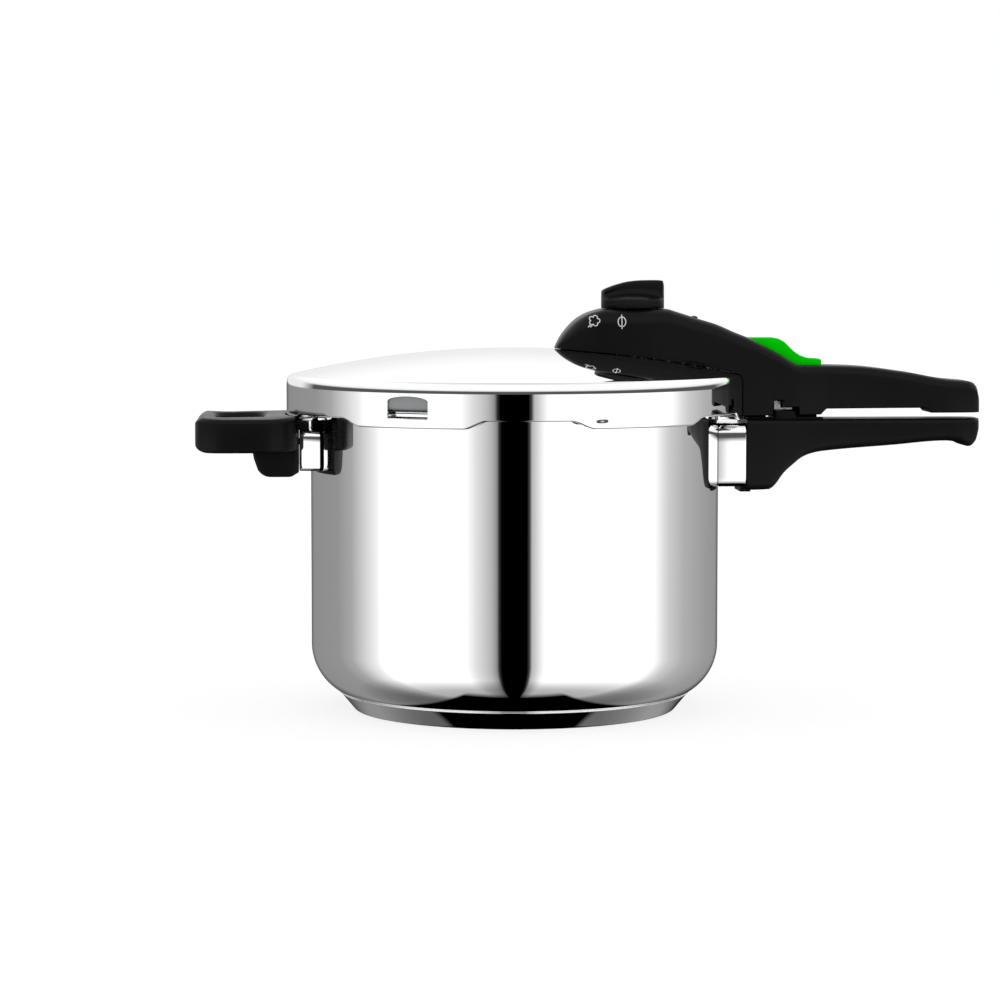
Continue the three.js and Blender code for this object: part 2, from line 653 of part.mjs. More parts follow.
// Everything above the dome's inner surface, for trimming what is screwed up under it.
function aboveDomeInside() {
  const surface = lidSurface(-LID.wall - SEAT_GAP).slice(0, -3);
  const edge = surface[surface.length - 1][0];
  return turned([...surface, [edge, APEX + 20], [0, APEX + 20]], BIG_SIDES);
}

// C section, open towards the axis, whose lower lip rests on the pot's rim.
function gasket() {
  const inner = POT.innerRadius + GASKET.innerReach;
  const outer = LID_RADIUS - LID.wall - SEAT_GAP;
  const web = outer - GASKET.web;
  const roof = domeHeight(inner) - LID.wall - 2 * SEAT_GAP;
  const low = RIM + SEAT_GAP;
  return turned(
    [
      [inner + 5, low],
      [outer - 3.8, low],
      [outer, low + 2.7],
      [outer, SHOULDER - 0.8],
      [outer - 1.5, SHOULDER + 0.8],
      [inner + 0.5, roof],
      [inner, roof - GASKET.lip],
      [web, SHOULDER - 1.2],
      [web, low + 5],
      [inner + 0.4, low + 3.6],
      [inner, low + 3.6 - GASKET.lip],
    ],
    BIG_SIDES,
  );
}

// Nut screwed up under the dome, with its top trimmed to the dome's inside.
function domeNut(valve, radius, bottom) {
  const place = outward(-valve.inset);
  const top = domeHeight(place) + 2;
  const nut = cut(hexRod(radius, bottom, top), rod(valve.shankRadius + SEAT_GAP, bottom - 1, top + 1));
  return cut(nut.translate(place, 0, 0), aboveDomeInside());
}

// Turned valve body, with its flange trimmed to the dome's outside but not its shank.
function valveBody(valve, bottom, top, chamberFloor) {
  const place = outward(-valve.inset);
  const seat = domeHeight(place);
  const flange = rod(valve.flangeRadius, seat - 3, seat + 3.5).translate(place, 0, 0);
  const neck = tube(valve.bore, valve.shankRadius, bottom, seat + 3, SMALL_SIDES).translate(place, 0, 0);
  const barrel = rod(valve.bodyRadius, seat + 3, top).translate(place, 0, 0);
  const trimmed = cut(flange, belowLid(SEAT_GAP));
  const bore = rod(valve.bore, bottom - 1, top + 1).translate(place, 0, 0);
  const chamber = rod(valve.chamber, chamberFloor, top + 1).translate(place, 0, 0);
  return cut(join(trimmed, neck, barrel), bore, chamber);
}

// The long handle's cover -------------------------------------------------------------------------

function coverStations(inset, from, to, bottom) {
  const places = COVER_TOP.map(([out]) => out).filter((out) => out > from && out < to);
  return [from, ...places, to].map((out) => ({
    x: outward(out),
    section: boxSection(
      Math.max(valueAt(COVER_HALF_WIDTH, out) - inset, 0.6),
      bottom === undefined ? above(valueAt(COVER_BOTTOM, out)) : bottom,
      above(valueAt(COVER_TOP, out)) - inset,
      1,
      Math.max(valueAt(COVER_ROUNDING, out) - inset, 0.4),
    ),
  }));
}

const spanOf = (outline) => [outline[0][0], outline[outline.length - 1][0]];

// The slider's side view swept along its travel, with room round it.
function sliderChannel() {
  const reach = SLIDER.travel + RUN_GAP;
  const [front, top] = SLIDER_SIDE[0];
  const low = SLIDER_SIDE[SLIDER_SIDE.length - 1][1] - RUN_GAP;
  const [flatStart, floor] = SLIDER_SIDE[SLIDER_SIDE.length - 2];
  const rear = SLIDER_SIDE[SLIDER_SIDE.length - 3][0] + RUN_GAP;
  const side = [
    [front - reach, top + RUN_GAP],
    [rear, top + RUN_GAP],
    [rear, floor - RUN_GAP],
    [flatStart - reach, floor - RUN_GAP],
    [front - reach, low],
  ];
  const half = SLIDER.halfWidth + RUN_GAP;
  return alongY(placed(side), -half, half);
}

// Slot for the slider's post and passage for the bolt, open below behind the keeper block.
function boltPassage() {
  const half = SLIDER.postHalfWidth + RUN_GAP;
  const start = outward(SLIDER.postStart - SLIDER.travel - RUN_GAP);
  const end = outward(SLIDER.postEnd + RUN_GAP);
  const post = block(start, end, -half, half, above(BOLT.bottom), above(SLIDER_SIDE[9][1]));
  const boltHalf = BOLT.halfWidth + RUN_GAP;
  const boltRoof = above(BOLT.bottom + BOLT.thickness + RUN_GAP);
  const boltStart = outward(BOLT.tip - SLIDER.travel) - RUN_GAP;
  const bolt = block(boltStart, outward(BOLT.end) + RUN_GAP, -boltHalf, boltHalf, above(-12), boltRoof);
  return join(post, bolt);
}

// Room for the keeper block and the catch, which leave it sideways as the lid turns.
function keeperNotch() {
  const start = outward(LONG_HANDLE.blockStart - 1.8);
  const end = outward(LONG_HANDLE.blockEnd + 1.4);
  const low = above(LONG_HANDLE.potTop);
  const blockRoom = block(start, end, -30, 30, low, above(LONG_HANDLE.blockTop + 2.3));
  const catchRoom = block(start, outward(CATCH.end + 0.9), -30, 30, low, above(CATCH.top + 1.2));
  const footRoom = block(start, end, -30, 30, low, above(LONG_HANDLE.blockTop + 3.6));
  return join(blockRoom, catchRoom, footRoom);
}

function bracketRoom() {
  const [[, topBack], [, topEdge], [rear, rearTop], [, low]] = BRACKET_SIDE;
  const gap = RUN_GAP;
  const front = BRACKET_SIDE[0][0];
  const edge = BRACKET_SIDE[1][0];
  const side = [
    [front, topBack + gap],
    [edge, topEdge + gap],
    [rear + gap, rearTop + gap],
    [rear + gap, low - gap],
    [front, low - gap],
  ];
  const half = BRACKET_HALF_WIDTH + gap;
  return alongY(placed(side), -half, half);
}

const gripInsert = (clearance) => ({
  outline: rectangle(
    outward(GRIP.start) + clearance,
    outward(GRIP.end) - clearance,
    -GRIP.halfWidth + clearance,
    GRIP.halfWidth - clearance,
  ),
  low: above(GRIP.height),
});

function handleCover() {
  const [first, last] = spanOf(COVER_TOP);
  const blank = loft(coverStations(0, first, last));
  const cavityBlank = loft(coverStations(COVER_WALL, first + 3.5, -12, SHOULDER - 20));
  const frontBoss = rod(FRONT_SCREW.bossRadius, SHOULDER - 21, APEX + 30);
  const cavity = cut(cavityBlank, frontBoss.translate(outward(-FRONT_SCREW.inset), 0, 0));
  const railLow = above(LONG_HANDLE.potTop) + RUN_GAP;
  const railHigh = above(COVER_BOTTOM[3][1]) + 1;
  const rail = block(outward(RAIL.start), outward(RAIL.end), RAIL.inner, RAIL.outer, railLow, railHigh);
  const upHole = (radius, out, low, high) => rod(radius, low, high).translate(outward(out), 0, 0);
  const rear = REAR_SCREW.outset;
  const rearSeat = above(REAR_SCREW.seat);
  const insert = gripInsert(0);
  const { start: ventStart, end: ventEnd, bottom: ventBottom, rise } = SAFETY_VENT;
  const ventTop = domeHeight(outward((ventStart + ventEnd) / 2)) + rise;
  const ventSide = rectangle(outward(ventStart), outward(ventEnd), above(ventBottom), ventTop);
  return cut(
    join(blank, rail),
    belowLid(SEAT_GAP + 0.1),
    cavity,
    sliderChannel(),
    boltPassage(),
    keeperNotch(),
    bracketRoom(),
    upHole(KNOB.stemRadius + SEAT_GAP, -REGULATOR.inset, above(40), above(60)),
    upHole(INDICATOR.pinRadius + 1, -INDICATOR.inset, above(40), above(60)),
    upHole(SCREW.shank + SEAT_GAP, -FRONT_SCREW.inset, SHOULDER, APEX + FRONT_SCREW.height + 1),
    upHole(SCREW.shank + SEAT_GAP, rear, above(-12), above(BRACKET_SIDE[3][1])),
    upHole(SCREW.head + RUN_GAP, rear, above(-12), rearSeat + SEAT_GAP),
    alongZ(insert.outline, above(COVER_BOTTOM[2][1]), above(GRIP.pocketTop), GRIP.corner),
    alongY(ventSide, -30, -10),
  );
}

function handleBase() {
  const insert = gripInsert(SEAT_GAP);
  const top = insert.low + GRIP.thickness;
  const plate = alongZ(insert.outline, insert.low, top, GRIP.corner);
  const ribs = [60, 75, 90].map((out) => block(outward(out), outward(out) + 2, -7, 7, top - 0.5, top + 3.5));
  return join(plate, ...ribs);
}

function lidHandleBracket() {
  const blank = alongY(placed(BRACKET_SIDE), -BRACKET_HALF_WIDTH, BRACKET_HALF_WIDTH);
  const [low, high] = [above(BRACKET_SIDE[3][1]) - 1, above(BRACKET_SIDE[0][1]) + 1];
  const hole = rod(SCREW.shank + SEAT_GAP, low, high).translate(outward(REAR_SCREW.outset), 0, 0);
  return cut(blank, belowLid(SEAT_GAP), hole);
}

function rearScrew() {
  const seat = above(REAR_SCREW.seat);
  const shank = rod(SCREW.shank, seat - 0.5, above(BRACKET_SIDE[2][1]) - 0.2);
  const head = rod(SCREW.head, seat - SCREW.headHeight, seat);
  return join(shank, head).translate(outward(REAR_SCREW.outset), 0, 0);
}

// The screw comes up from inside the lid.
function frontScrew() {
  const place = outward(-FRONT_SCREW.inset);
  const seat = domeHeight(place);
  const head = cut(rod(SCREW.head, seat - NUT_DEPTH, seat + 2).translate(place, 0, 0), aboveDomeInside());
  const shank = rod(SCREW.shank, seat - 5, APEX + FRONT_SCREW.height).translate(place, 0, 0);
  return join(head, shank);
}

// Selector ----------------------------------------------------------------------------------------

const KNOB_FLOOR = above(KNOB.seat) + SEAT_GAP;
const FIN_SIDE = [[-16.9, 0], [-16.6, 9.6], [-9, 12.8], [2, 14.9], [15.2, 15.3], [16.6, 8], [16.9, 0]];

function selectorKnob() {
  const ring = rod(KNOB.radius, 0, KNOB.ringHeight, 36);
  const fin = alongY(FIN_SIDE, -KNOB.finHalfWidth, KNOB.finHalfWidth);
  const dish = rod(KNOB.radius - 4, -1, 1.5, 36);
  const bore = rod(KNOB.stemRadius + SEAT_GAP, -1, 9);
  const round = rod(KNOB.radius, 0, 20, 36);
  return cut(join(ring, common(fin, round)), dish, bore).translate(outward(-REGULATOR.inset), 0, KNOB_FLOOR);
}

const CAM_TOP = above(KNOB.seat) - COVER_WALL - 1.8;

function selectorStem() {
  const cam = rod(KNOB.camRadius, CAM_TOP - 3, CAM_TOP);
  const shaft = rod(KNOB.stemRadius, CAM_TOP - 1, KNOB_FLOOR + 8);
  return join(cam, shaft).translate(outward(-REGULATOR.inset), 0, 0);
}

const selectorWasher = () =>
  tube(KNOB.stemRadius + SEAT_GAP, KNOB.camRadius + 1.5, CAM_TOP + SEAT_GAP, CAM_TOP + 1.4).translate(
    outward(-REGULATOR.inset),
    0,
    0,
  );

// Valve insides -----------------------------------------------------------------------------------

const chamberFloor = (valve) => domeHeight(outward(-valve.inset)) + 5;
const PISTON_HEIGHT = 2.2;

function piston(valve, stemRadius, stemLength) {
  const low = chamberFloor(valve) + SEAT_GAP;
  const head = rod(valve.chamber - 0.4, low, low + PISTON_HEIGHT);
  const seatTip = rod(valve.bore - 0.3, low - 2, low + 0.5);
  const stem = rod(stemRadius, low + 1, low + stemLength);
  return join(head, seatTip, stem).translate(outward(-valve.inset), 0, 0);
}

function spring(valve, radius, wire, top, turns) {
  const low = chamberFloor(valve) + SEAT_GAP + PISTON_HEIGHT + SEAT_GAP;
  return helix(radius, wire, low, top, turns).translate(outward(-valve.inset), 0, 0);
}

const SAFETY_TOP = domeHeight(outward(-SAFETY.inset)) + 14;

const safetyCap = () =>
  tube(1.9, SAFETY.bodyRadius, SAFETY_TOP + SEAT_GAP, SAFETY_TOP + 2.3).translate(outward(-SAFETY.inset), 0, 0);

const INDICATOR_FOOT = above(13.5); // lower end of the indicator's guide

function indicatorPin() {
  const shoulder = domeHeight(outward(-INDICATOR.inset)) + 8 + SEAT_GAP;
  const stop = INDICATOR_FOOT - INDICATOR.rise - 1.8;
  const rodLow = rod(INDICATOR.pinRadius, stop - 1, shoulder + 1);
  const rodHigh = rod(INDICATOR.pinRadius + 0.5, shoulder, above(46.4));
  const foot = rod(3, stop - 2, stop);
  return join(rodLow, rodHigh, foot).translate(outward(-INDICATOR.inset), 0, 0);
}

function indicatorSeal() {
  const low = INDICATOR_FOOT - INDICATOR.rise - 1.8 + SEAT_GAP;
  return tube(INDICATOR.pinRadius + SEAT_GAP, 3.2, low, low + 1.1).translate(outward(-INDICATOR.inset), 0, 0);
}

// Lock --------------------------------------------------------------------------------------------

function lockSlider() {
  const half = SLIDER.halfWidth;
  const body = alongY(placed(SLIDER_SIDE), -half, half);
  const postHalf = SLIDER.postHalfWidth;
  const postLow = above(BOLT.bottom + BOLT.thickness) + SEAT_GAP;
  const start = outward(SLIDER.postStart);
  const end = outward(SLIDER.postEnd);
  const post = block(start, end, -postHalf, postHalf, postLow, above(SLIDER_SIDE[9][1] + 1));
  const holeTop = above(BOLT.bottom) + SLIDER_SCREW.headHeight + SLIDER_SCREW.reach + RUN_GAP;
  const bore = rod(SLIDER_SCREW.shank + SEAT_GAP, postLow - 1, holeTop);
  const hole = bore.translate(outward(sliderScrewOut), 0, 0);
  return cut(join(body, post), hole);
}

const sliderScrewOut = (SLIDER.postStart + SLIDER.postEnd) / 2;

function latchBolt() {
  const half = BOLT.halfWidth;
  const [low, high] = [above(BOLT.bottom), above(BOLT.bottom + BOLT.thickness)];
  const bar = block(outward(BOLT.tip), outward(BOLT.end), -half, half, low, high);
  const shankHole = rod(SLIDER_SCREW.shank + SEAT_GAP, low - 1, high + 1);
  const headHole = rod(SLIDER_SCREW.head + SEAT_GAP, low - 1, low + SLIDER_SCREW.headHeight + SEAT_GAP);
  return cut(bar, join(shankHole, headHole).translate(outward(sliderScrewOut), 0, 0));
}

// The screw's head is sunk in the bolt, so that it passes over the catch.
function sliderScrew() {
  const low = above(BOLT.bottom);
  const head = rod(SLIDER_SCREW.head, low, low + SLIDER_SCREW.headHeight);
  const shank = rod(SLIDER_SCREW.shank, low, low + SLIDER_SCREW.headHeight + SLIDER_SCREW.reach);
  return join(shank, head).translate(outward(sliderScrewOut), 0, 0);
}

// -------------------------------------------------------------------------------------------------
// Assembly
// -------------------------------------------------------------------------------------------------

function named(name, geometry, look) {
  const mesh = new THREE.Mesh(geometry, new THREE.MeshStandardMaterial(look));
  mesh.name = name;
  return mesh;
}

function grouped(...meshes) {
  const group = new THREE.Group();
  group.add(...meshes);
  return group;
}

const valvePlace = (valve) => domeHeight(outward(-valve.inset));

const longBolt = above(LONG_HANDLE.boltHeight);
const longBracket = wallBracket(above(-43), above(-14), longBolt, outward(POT_HANDLE_BOTTOM[0][0]));
const longScrew = headedScrewAlongX(WALL_SCREW_START, outward(LONG_SCREW_SEAT));

const pot = grouped(
  named('pot_shell', potShell(), STEEL),
  named('base_core', baseCore(), ALUMINIUM),
  named('base_cup', baseCup(), STEEL),
  named('pot_handle_bracket', longBracket, BRUSHED),
  named('pot_handle_sleeve', longSleeve(), STEEL),
  named('pot_handle', potHandle(), BLACK),
  named('pot_handle_screw', longScrew.translate(0, 0, longBolt), BRUSHED),
  named('latch_catch', latchCatch(), STEEL),
  named('catch_screw', catchScrew(), BRUSHED),
);

const helperBolt = above(HELPER.boltHeight);
const helperBracket = wallBracket(above(-33), above(-17), helperBolt, outward(-HELPER.rootInset));
const helperScrew = headedScrewAlongX(WALL_SCREW_START, helperScrewSeat);
const helper = grouped(
  named('helper_bracket', helperBracket, BRUSHED),
  named('helper_sleeve', helperSleeve(), STEEL),
  named('helper_handle', helperHandle(), BLACK),
  named('helper_screw', helperScrew.translate(0, 0, helperBolt), BRUSHED),
);
helper.rotation.z = Math.PI;

const guideBore = INDICATOR.pinRadius + 0.4;
const guide = { ...INDICATOR, bore: guideBore, chamber: guideBore };
const guideTop = valvePlace(INDICATOR) + 8;
const guideBody = valveBody(guide, INDICATOR_FOOT, guideTop, valvePlace(INDICATOR));
const regulatorTop = valvePlace(REGULATOR) + 11;
const regulatorBody = valveBody(REGULATOR, valvePlace(REGULATOR) - 8, regulatorTop, chamberFloor(REGULATOR));
const safetyBody = valveBody(SAFETY, valvePlace(SAFETY) - 8, SAFETY_TOP, chamberFloor(SAFETY));

const lid = grouped(
  named('lid_shell', lidShell(), STEEL),
  named('gasket', gasket(), RUBBER),
  named('lid_handle_bracket', lidHandleBracket(), BRUSHED),
  named('handle_cover', handleCover(), BLACK),
  named('handle_base', handleBase(), BLACK),
  named('handle_screw_front', frontScrew(), BRUSHED),
  named('handle_screw_rear', rearScrew(), BRUSHED),
  named('regulator_body', regulatorBody, BRASS),
  named('regulator_nut', domeNut(REGULATOR, 8.5, valvePlace(REGULATOR) - NUT_DEPTH), BRUSHED),
  named('safety_valve_body', safetyBody, BRASS),
  named('safety_valve_nut', domeNut(SAFETY, 8, valvePlace(SAFETY) - NUT_DEPTH), BRUSHED),
  named('safety_cap', safetyCap(), BRASS),
  named('indicator_guide', guideBody, BRASS),
  named('indicator_nut', domeNut(INDICATOR, 6.8, INDICATOR_FOOT + 0.5), BRUSHED),
);

const selector = grouped(
  named('selector_knob', selectorKnob(), BLACK),
  named('selector_stem', selectorStem(), BRASS),
  named('selector_washer', selectorWasher(), BRUSHED),
);

const regulator = grouped(
  named('regulator_piston', piston(REGULATOR, 1.5, 6), BRASS),
  named('regulator_spring', spring(REGULATOR, 3.2, 0.5, CAM_TOP - 3 - SEAT_GAP, 4), STEEL),
);

const safety = grouped(
  named('safety_plunger', piston(SAFETY, 1.5, 13), BRASS),
  named('safety_spring', spring(SAFETY, 3.2, 0.5, SAFETY_TOP, 4), STEEL),
);

const indicator = grouped(
  named('indicator_pin', indicatorPin(), RED),
  named('indicator_seal', indicatorSeal(), RUBBER),
);

const lock = grouped(
  named('lock_slider', lockSlider(), GREEN),
  named('latch_bolt', latchBolt(), BRUSHED),
  named('slider_screw', sliderScrew(), BRUSHED),
);

export default grouped(pot, helper, lid, selector, regulator, safety, indicator, lock);
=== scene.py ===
"""Stovetop pressure cooker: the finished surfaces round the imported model."""

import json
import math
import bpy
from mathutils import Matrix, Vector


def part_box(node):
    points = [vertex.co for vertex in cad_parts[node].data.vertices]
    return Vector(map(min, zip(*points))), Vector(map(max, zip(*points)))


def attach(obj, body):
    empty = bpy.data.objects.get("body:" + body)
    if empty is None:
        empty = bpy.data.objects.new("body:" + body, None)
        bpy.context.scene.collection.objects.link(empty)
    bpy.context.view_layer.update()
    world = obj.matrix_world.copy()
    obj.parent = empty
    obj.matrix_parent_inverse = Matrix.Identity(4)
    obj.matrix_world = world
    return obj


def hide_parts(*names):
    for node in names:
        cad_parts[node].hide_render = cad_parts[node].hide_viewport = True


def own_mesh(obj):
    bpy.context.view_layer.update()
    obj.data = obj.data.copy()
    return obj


bl_info = {
    "name": "Stovetop Pressure Cooker",
    "version": (1, 0, 0),
    "blender": (4, 5, 0),
    "location": "View3D > Sidebar > Cooker",
    "description": "Builds the visible pieces of a stovetop pressure cooker",
    "category": "Add Mesh",
}

import bmesh
import bpy
import numpy as np
from bpy.props import FloatProperty, FloatVectorProperty, PointerProperty
from mathutils import Matrix, Vector
from mathutils.bvhtree import BVHTree

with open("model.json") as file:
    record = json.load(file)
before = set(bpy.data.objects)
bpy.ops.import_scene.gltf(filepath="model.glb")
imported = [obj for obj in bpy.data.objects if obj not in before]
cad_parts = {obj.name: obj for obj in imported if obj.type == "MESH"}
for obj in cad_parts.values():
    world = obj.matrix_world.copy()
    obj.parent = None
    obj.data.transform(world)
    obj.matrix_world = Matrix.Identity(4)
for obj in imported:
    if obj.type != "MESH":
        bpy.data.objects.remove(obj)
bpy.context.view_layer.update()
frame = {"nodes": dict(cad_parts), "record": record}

MM = 0.001  # lengths below are in millimetres, and meshes are in metres


def low(node, axis):
    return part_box(node)[0][axis] / MM


def high(node, axis):
    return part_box(node)[1][axis] / MM


# Places taken from the frame.
LID_RADIUS = high("lid_shell", 0)
RIM = high("pot_shell", 2)
APEX = high("lid_shell", 2)
TAB_EDGE = low("lid_shell", 2)
LUG_RADIUS = high("pot_shell", 0)
POT_RADIUS = LID_RADIUS - 13.1  # outer wall
POT_FLOOR = low("pot_shell", 2)
SEAM_RADIUS = high("base_cup", 0)
KNOB_X = (low("selector_knob", 0) + high("selector_knob", 0)) / 2
SAFETY_X = (low("safety_cap", 0) + high("safety_cap", 0)) / 2
PIN_X = (low("indicator_pin", 0) + high("indicator_pin", 0)) / 2
NOSE_SCREW_X = LID_RADIUS - 82.4  # screw under the cover's nose
HEEL_SCREW_X = LID_RADIUS + 7.1  # screw by the lid's skirt

SEAT_GAP = 0.3
SCREW_BORE = 2.3  # radius of the clearance round a handle screw's shank
HEAD_BORE = 4.3  # and round its head
TABS = 6
SIDES = 360  # columns round the pot and the lid
SMALL_SIDES = 48


# ------------------------------------------------------------------------------
# Sizes and colours that a user may change
# ------------------------------------------------------------------------------


def length(name, description, default):
    return FloatProperty(
        name=name, description=description, default=default * MM, min=0, unit="LENGTH"
    )


def angle(name, description, default):
    return FloatProperty(
        name=name, description=description, default=math.radians(default), unit="ROTATION"
    )


def colour(name, description, default):
    return FloatVectorProperty(
        name=name,
        description=description,
        default=default,
        size=3,
        min=0,
        max=1,
        subtype="COLOR",
    )


def factor(name, description, default):
    return FloatProperty(
        name=name, description=description, default=default, min=0, max=1, subtype="FACTOR"
    )


class PotSizes(bpy.types.PropertyGroup):
    wall: length("Wall", "Thickness of the drawn steel", 0.8)
    corner: length("Corner", "Outer radius of the pot's rounded bottom corner", 29)
    foot: length("Foot radius", "Radius of the flat that stands on the hob", 86.2)
    lug_half: angle("Lug half angle", "Half the angle that one lug spans", 13.5)
    neck: length("Neck", "Reach of the rim between two lugs", 2)


class LidSizes(bpy.types.PropertyGroup):
    wall: length("Wall", "Thickness of the lid's steel", 1)
    dome_rise: length("Dome rise", "Height of the dome above its edge", 14)
    shoulder_width: length("Shoulder width", "How far the shoulder turns inwards", 2.4)
    shoulder_depth: length("Shoulder depth", "How far the shoulder turns down", 6)
    recess_depth: length("Recess depth", "Height of the recess between two tabs", 4.1)
    recess_half: angle("Recess half angle", "Half a recess's angle at half its height", 12.9)
    window_width: length("Window width", "Width of the pressure window in the skirt", 23.4)


class MouldingSizes(bpy.types.PropertyGroup):
    cover_wall: length("Cover wall", "Wall of the hollow valve cover", 2.5)
    edge: length("Edge radius", "Rounding of the handles' edges", 2.4)
    crown: length("Crown", "Rise of the helper handle's top at its middle", 3.6)
    fin_half: length("Fin half width", "Half the thickness of the knob's grip", 5.6)


class Finishes(bpy.types.PropertyGroup):
    steel: colour("Steel", "Mirror-polished steel", (0.95, 0.95, 0.953))
    steel_roughness: factor("Steel roughness", "Roughness of the polished steel", 0.012)
    moulding: colour("Moulding", "Black heat-proof moulding", (0.003, 0.003, 0.0032))
    moulding_roughness: factor("Moulding roughness", "Roughness of the moulding", 0.36)
    slider: colour("Slider", "Green locking slider", (0.0, 0.63, 0.0))
    rubber: colour("Rubber", "Silicone of the seals", (0.26, 0.27, 0.28))


# ------------------------------------------------------------------------------
# Materials
# ------------------------------------------------------------------------------


# Goes before a slot's name, because the frame holds plain materials named after the slots.
FINISH = "finish_"


class Nodes:
    """A material's or a tree's nodes, made and linked in one call each."""

    def __init__(self, tree):
        self.tree = tree

    def add(self, kind, inputs=None, **settings):
        node = self.tree.nodes.new(kind)
        for key, value in settings.items():
            setattr(node, key, value)
        for key, value in (inputs or {}).items():
            socket = node.inputs[key]
            if isinstance(value, bpy.types.NodeSocket):
                self.tree.links.new(value, socket)
            else:
                socket.default_value = value
        return node

    def math(self, operation, *values):
        inputs = dict(enumerate(values))
        return self.add("ShaderNodeMath", inputs, operation=operation).outputs[0]

    def noise(self, place, scale, detail):
        inputs = {"Vector": place, "Scale": scale, "Detail": detail}
        return self.add("ShaderNodeTexNoise", inputs).outputs["Fac"]

    def stretch(self, place, scale):
        return self.add("ShaderNodeMapping", {"Vector": place, "Scale": scale}).outputs[0]

    def mix(self, share, first, second, blend="MIX"):
        """Mixes two colours."""
        inputs = {0: share, 6: first, 7: second}
        node = self.add("ShaderNodeMix", inputs, data_type="RGBA", blend_type=blend)
        return node.outputs[2]

    def between(self, value, start, end):
        """0 where the value is at its start and 1 where it is at its end."""
        inputs = {"Value": value, "From Min": start, "From Max": end}
        return self.add("ShaderNodeMapRange", inputs).outputs[0]

    def ramp(self, value, stops):
        node = self.add("ShaderNodeValToRGB", {0: value})
        node.color_ramp.interpolation = "LINEAR"
        elements = node.color_ramp.elements
        while len(elements) < len(stops):
            elements.new(1.0)
        for element, (place, shade) in zip(elements, stops):
            element.position = place
            element.color = (shade, shade, shade, 1)
        return node.outputs[0]


def new_material(name):
    material = bpy.data.materials.new(FINISH + name)
    material.use_nodes = True
    material.node_tree.nodes.clear()
    nodes = Nodes(material.node_tree)
    shader = nodes.add("ShaderNodeBsdfPrincipled")
    nodes.add("ShaderNodeOutputMaterial", {"Surface": shader.outputs[0]})
    place = nodes.add("ShaderNodeTexCoord").outputs["Object"]
    return nodes, shader, place


def varied(nodes, place, scale, centre, spread, detail=3.0):
    """A value that wanders round a centre."""
    return nodes.add(
        "ShaderNodeMapRange",
        {
            "Value": nodes.noise(place, scale, detail),
            "From Min": 0.3,
            "From Max": 0.7,
            "To Min": centre - spread,
            "To Max": centre + spread,
        },
    ).outputs[0]


def bump(nodes, shader, height, strength, distance):
    inputs = {"Height": height, "Strength": strength, "Distance": distance}
    node = nodes.add("ShaderNodeBump", inputs)
    nodes.tree.links.new(node.outputs[0], shader.inputs["Normal"])


def tinted(nodes, shader, base, shade, tone):
    """Drives the base colour between a darker shade of it and itself."""
    darker = (*[c * shade for c in base], 1)
    colour_out = nodes.mix(tone, darker, (*base, 1))
    nodes.tree.links.new(colour_out, shader.inputs["Base Color"])


def set_inputs(shader, **values):
    for key, value in values.items():
        shader.inputs[key.replace("_", " ")].default_value = value


def polished_steel(finishes):
    """Mirror polish with a faint haze and hair-fine wiping marks round the axis."""
    nodes, shader, place = new_material("polished_steel")
    set_inputs(shader, Base_Color=(*finishes.steel, 1), Metallic=1.0)
    centre = finishes.steel_roughness
    haze = varied(nodes, place, 55, centre, centre * 0.45)
    nodes.tree.links.new(haze, shader.inputs["Roughness"])
    wiping = nodes.noise(nodes.stretch(place, (3, 3, 900)), 4.0, 4.0)
    bump(nodes, shader, wiping, 0.001, 0.00002)


def brushed_metal(name, base, roughness, lines=700):
    """Turned or brushed metal: fine lines with a wandering roughness."""
    nodes, shader, place = new_material(name)
    set_inputs(shader, Metallic=1.0)
    tinted(nodes, shader, base, 0.9, varied(nodes, place, 120, 1.0, 0.06))
    haze = varied(nodes, place, 260, roughness, roughness * 0.3)
    nodes.tree.links.new(haze, shader.inputs["Roughness"])
    grain = nodes.noise(nodes.stretch(place, (20, 20, lines)), 3.0, 5.0)
    bump(nodes, shader, grain, 0.25, 0.00005)


def moulded(name, base, roughness, specular, grain_scale=2600, grain=0.16):
    """Moulded plastic: spark-eroded grain and a slow drift of gloss and tone."""
    nodes, shader, place = new_material(name)
    set_inputs(shader, Specular_IOR_Level=specular)
    tinted(nodes, shader, base, 0.82, varied(nodes, place, 18, 0.5, 0.5))
    gloss = varied(nodes, place, 35, roughness, 0.04)
    nodes.tree.links.new(gloss, shader.inputs["Roughness"])
    bump(nodes, shader, nodes.noise(place, grain_scale, 2.0), grain, 0.00006)


def make_materials(finishes):
    polished_steel(finishes)
    brushed_metal("satin_steel", (0.62, 0.63, 0.65), 0.3)
    brushed_metal("base_aluminium", (0.72, 0.73, 0.75), 0.42, 300)
    brushed_metal("valve_brass", (0.62, 0.46, 0.22), 0.28)
    moulded("black_moulding", tuple(finishes.moulding), finishes.moulding_roughness, 0.13)
    moulded("slider_green", tuple(finishes.slider), 0.5, 0.02, 3200, 0.08)
    moulded("seal_rubber", tuple(finishes.rubber), 0.62, 0.3, 1500, 0.12)
    moulded("indicator_red", (0.012, 0.002, 0.0015), 0.4, 0.1)
    moulded("mark_white", (0.72, 0.72, 0.72), 0.5, 0.3)


def material(slot):
    return bpy.data.materials[FINISH + slot]


# ------------------------------------------------------------------------------
# Meshes
# ------------------------------------------------------------------------------


def link(name, mesh):
    piece = bpy.data.objects.new(name, mesh)
    bpy.context.scene.collection.objects.link(piece)
    return piece


def from_arrays(name, points, faces):
    mesh = bpy.data.meshes.new(name)
    mesh.from_pydata((np.asarray(points, float) * MM).tolist(), [], faces)
    mesh.validate()
    return link(name, mesh)


